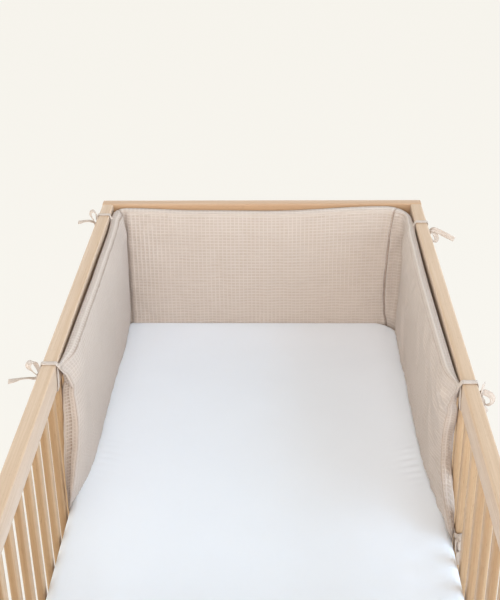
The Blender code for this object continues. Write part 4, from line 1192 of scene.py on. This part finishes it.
def skin_tape(name, path, wide, thin, even, material, closed=False, cup=0.0004, width=TAPE_WIDTH):
    """A tape's skin round its path, with edges that wave a little."""
    section = tape_section(width, TAPE_THICK, cup)
    count, sides = len(path), len(section)
    ripple = 1.0 + 0.035 * np.sin(even / 0.0062)[:, None]
    verts = (path[:, None] + wide[:, None] * (section[None, :, :1] * ripple[..., None])
             + thin[:, None] * section[None, :, 1:])
    index = np.arange(count * sides).reshape(count, sides)
    before, after = (index, np.roll(index, -1, axis=0)) if closed else (index[:-1], index[1:])
    faces = ring_faces(before, after)[:, (0, 3, 2, 1)].tolist()
    if not closed:
        faces += [index[0, ::-1].tolist(), index[-1].tolist()]
    flat = np.stack(np.broadcast_arrays(even[:, None], section[None, :, 0]), -1).reshape(-1, 2)
    tape = make_object(name, verts.reshape(-1, 3), faces, material, flat=flat)
    mesh = bmesh.new()
    mesh.from_mesh(tape.data)
    bmesh.ops.recalc_face_normals(mesh, faces=mesh.faces)
    mesh.to_mesh(tape.data)
    mesh.free()
    return tape


def build_knot(name, centre, side, material):
    """A small knot: a lump with two turns of tape drawn tight round it."""
    size = np.array(KNOT_SIZE) / 2
    angles = np.linspace(0, 2 * math.pi, 30, endpoint=False)
    bands = []
    turns = (((1, 0, 0.25), (0, 0.15, 1), 0.98), ((1, 0.45, -0.2), (0.1, -0.5, 1), 0.90))
    for number, (first, second, scale) in enumerate(turns):
        first, second = unit(np.array(first, float) * (side, 1, 1)), unit(np.array(second, float))
        ring = np.cos(angles)[:, None] * first + np.sin(angles)[:, None] * second
        path = centre + ring * size * scale
        ahead = unit(np.roll(path, -1, 0) - np.roll(path, 1, 0))
        thin = unit(ring - ahead * np.sum(ring * ahead, -1, keepdims=True))
        bands.append(skin_tape(f"{name}_turn_{number}", path, np.cross(ahead, thin), thin,
                               angles * 0.0045, material, closed=True, cup=-0.0009,
                               width=TAPE_WIDTH * (0.80 - 0.18 * number)))
    bm = bmesh.new()
    place = Matrix.Translation(centre) @ Matrix.Diagonal((*(size * 0.93), 1.0))
    bmesh.ops.create_uvsphere(bm, u_segments=20, v_segments=14, radius=1.0, matrix=place)
    layer = bm.loops.layers.uv.new("cloth")
    for face in bm.faces:
        for loop in face.loops:
            loop[layer].uv = (loop.vert.co.y, loop.vert.co.z)
    return [bmesh_object(bm, name, material)] + bands


def build_tie(name, side, origin, lie, first, second, knot, material):
    """Two tapes from one seam that meet in a knot, each a free cord with a bare end."""
    pieces = build_knot(name + "_knot", np.array(knot) * (side, 1, 1) + origin, side, material)
    tapes = []
    for label, rows, carried in (("bow", first, pieces), ("tail", second, [])):
        path, wide, thin, even = tape_frames(rows, lie, origin, side)
        tape = skin_tape(f"{name}_{label}", path, wide, thin, even, material)
        tapes.append(tape)
    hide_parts(name)
    return tapes + pieces


def build_ties(material):
    pieces = []
    for name, side, y, drift, top_seam, loop, end in TOP_TIES:
        origin = np.array((side * RAIL_MID_X, y, RAIL_TOP))
        pieces += build_tie(name, side, origin, ACROSS, over_strand(top_seam) + loop,
                            under_strand(drift, top_seam) + end, TOP_KNOT, material)
    y = HALF_INNER - FIRST_SLAT - LOW_TIE_BAR * SIDE_PITCH
    origin = np.array((RAIL_MID_X, y, RAIL_TOP - LOW_TIE_DEPTH))
    return pieces + build_tie("tie_right_low", 1, origin, UPRIGHT, RIGHT_LOW_STRAND + RIGHT_LOW_LOOP,
                              RIGHT_LOW_ROOT + RIGHT_LOW_END, LOW_KNOT, material)


# ---------------- stage


def build_stage():
    """A pale floor, soft studio light and the camera."""
    floor = make_object("floor", [(-9, -9, 0), (9, -9, 0), (9, 9, 0), (-9, 9, 0)], [(0, 1, 2, 3)],
                        floor_material())
    world = bpy.data.worlds.new("studio")
    bpy.context.scene.world = world
    world.use_nodes = True
    tree = world.node_tree
    background = tree.nodes["Background"]
    background.inputs["Color"].default_value = (0.965, 1.0, 0.995, 1)
    # Bright walls and a dark ceiling: the light falls off from the horizon up.
    split = tree.nodes.new("ShaderNodeSeparateXYZ")
    fall = tree.nodes.new("ShaderNodeMapRange")
    fall.inputs["To Min"].default_value = 2.58
    fall.inputs["To Max"].default_value = 0.0
    tree.links.new(tree.nodes.new("ShaderNodeTexCoord").outputs["Generated"], split.inputs["Vector"])
    tree.links.new(split.outputs["Z"], fall.inputs["Value"])
    tree.links.new(fall.outputs["Result"], background.inputs["Strength"])
    # name, place, aim, size, power, colour
    lights = (
        ("window", (2.4, -0.4, 1.9), (-0.2, 0.1, 0.65), 2.4, 56.0, (0.45, 0.69, 1.0)),
        ("front", (-0.1, -3.6, 2.15), (0.0, 0.6, 0.65), 1.6, 122.0, (0.82, 0.89, 1.0)),
        ("top", (0.0, 0.42, 2.4), (0.0, 0.38, 0.5), 1.2, 5.3, (1.0, 0.95, 0.95)),
    )
    for name, place, aim, size, power, color in lights:
        light = bpy.data.lights.new(name, "AREA")
        light.shape = "SQUARE"
        light.size = size
        light.energy = power
        light.color = color
        obj = link(name, light)
        obj.location = place
        obj.rotation_euler = (Vector(aim) - Vector(place)).to_track_quat("-Z", "Y").to_euler()

    camera = bpy.data.cameras.new("camera")
    camera.sensor_fit = "VERTICAL"
    camera.sensor_height = 36.0
    camera.lens = 64.68
    camera.clip_start = 0.05
    obj = link("camera", camera)
    obj.matrix_world = (Matrix.Translation(CAMERA_PLACE)
                        @ Matrix.Rotation(math.radians(CAMERA_TURN), 4, "Z")
                        @ Matrix.Rotation(math.radians(90 - CAMERA_DIP), 4, "X")
                        @ Matrix.Rotation(math.radians(CAMERA_ROLL), 4, "Z"))
    bpy.context.scene.camera = obj
    bpy.context.scene.view_settings.view_transform = "Standard"


# ---------------- the whole


def main():
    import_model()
    beech = wood_material("beech", (0.590, 0.430, 0.295), (0.498, 0.325, 0.194))
    # Painted shade: a greyer beech for the side rails' inner faces, as they look in shade.
    inner = wood_material("beech_inner_painted_shade", (0.595, 0.460, 0.352), (0.512, 0.358, 0.240))
    warm = wood_material("beech_warm", (0.555, 0.368, 0.234), (0.470, 0.280, 0.155))
    # Painted shade: a darker beech for the end rails' inner faces.
    inner_face_shade = wood_material("beech_painted_shade", (0.435, 0.255, 0.132), (0.350, 0.193, 0.093))
    bars = wood_material("beech_bars", (0.560, 0.385, 0.235), (0.425, 0.250, 0.124))
    # Painted shade: a darker beech for the left bars' faces towards the foot.
    shade = wood_material("beech_bar_painted_shade", (0.465, 0.292, 0.150), (0.355, 0.200, 0.092))
    base_wood = wood_material("base_wood", (0.72, 0.56, 0.38), (0.62, 0.45, 0.28), 0.6)

    wood = build_side("side_left", -1, (beech, inner, bars, shade), 1)
    wood += build_side("side_right", 1, (beech, inner, bars, bars), 5)
    wood += build_end("end_head", 1, (warm, inner_face_shade, bars, None), 9)
    wood += build_end("end_foot", -1, (warm, inner_face_shade, bars, None), 13)
    seed = 20
    for side_name, side in (("left", -1), ("right", 1)):
        for end_name, end in (("head", 1), ("foot", -1)):
            wood += build_post(f"post_{end_name}_{side_name}", side, end, beech, seed)
            seed += 1
    base = build_base(base_wood)

    run = Run()
    mattress = build_mattress(run, sheet_material())
    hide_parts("mattress")

    bumper = build_bumper(run, waffle_material())
    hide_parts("bumper")

    ties = build_ties(tape_material())

    for piece in wood + base + [mattress, bumper] + ties:
        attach(piece, "root")
    build_stage()


main()
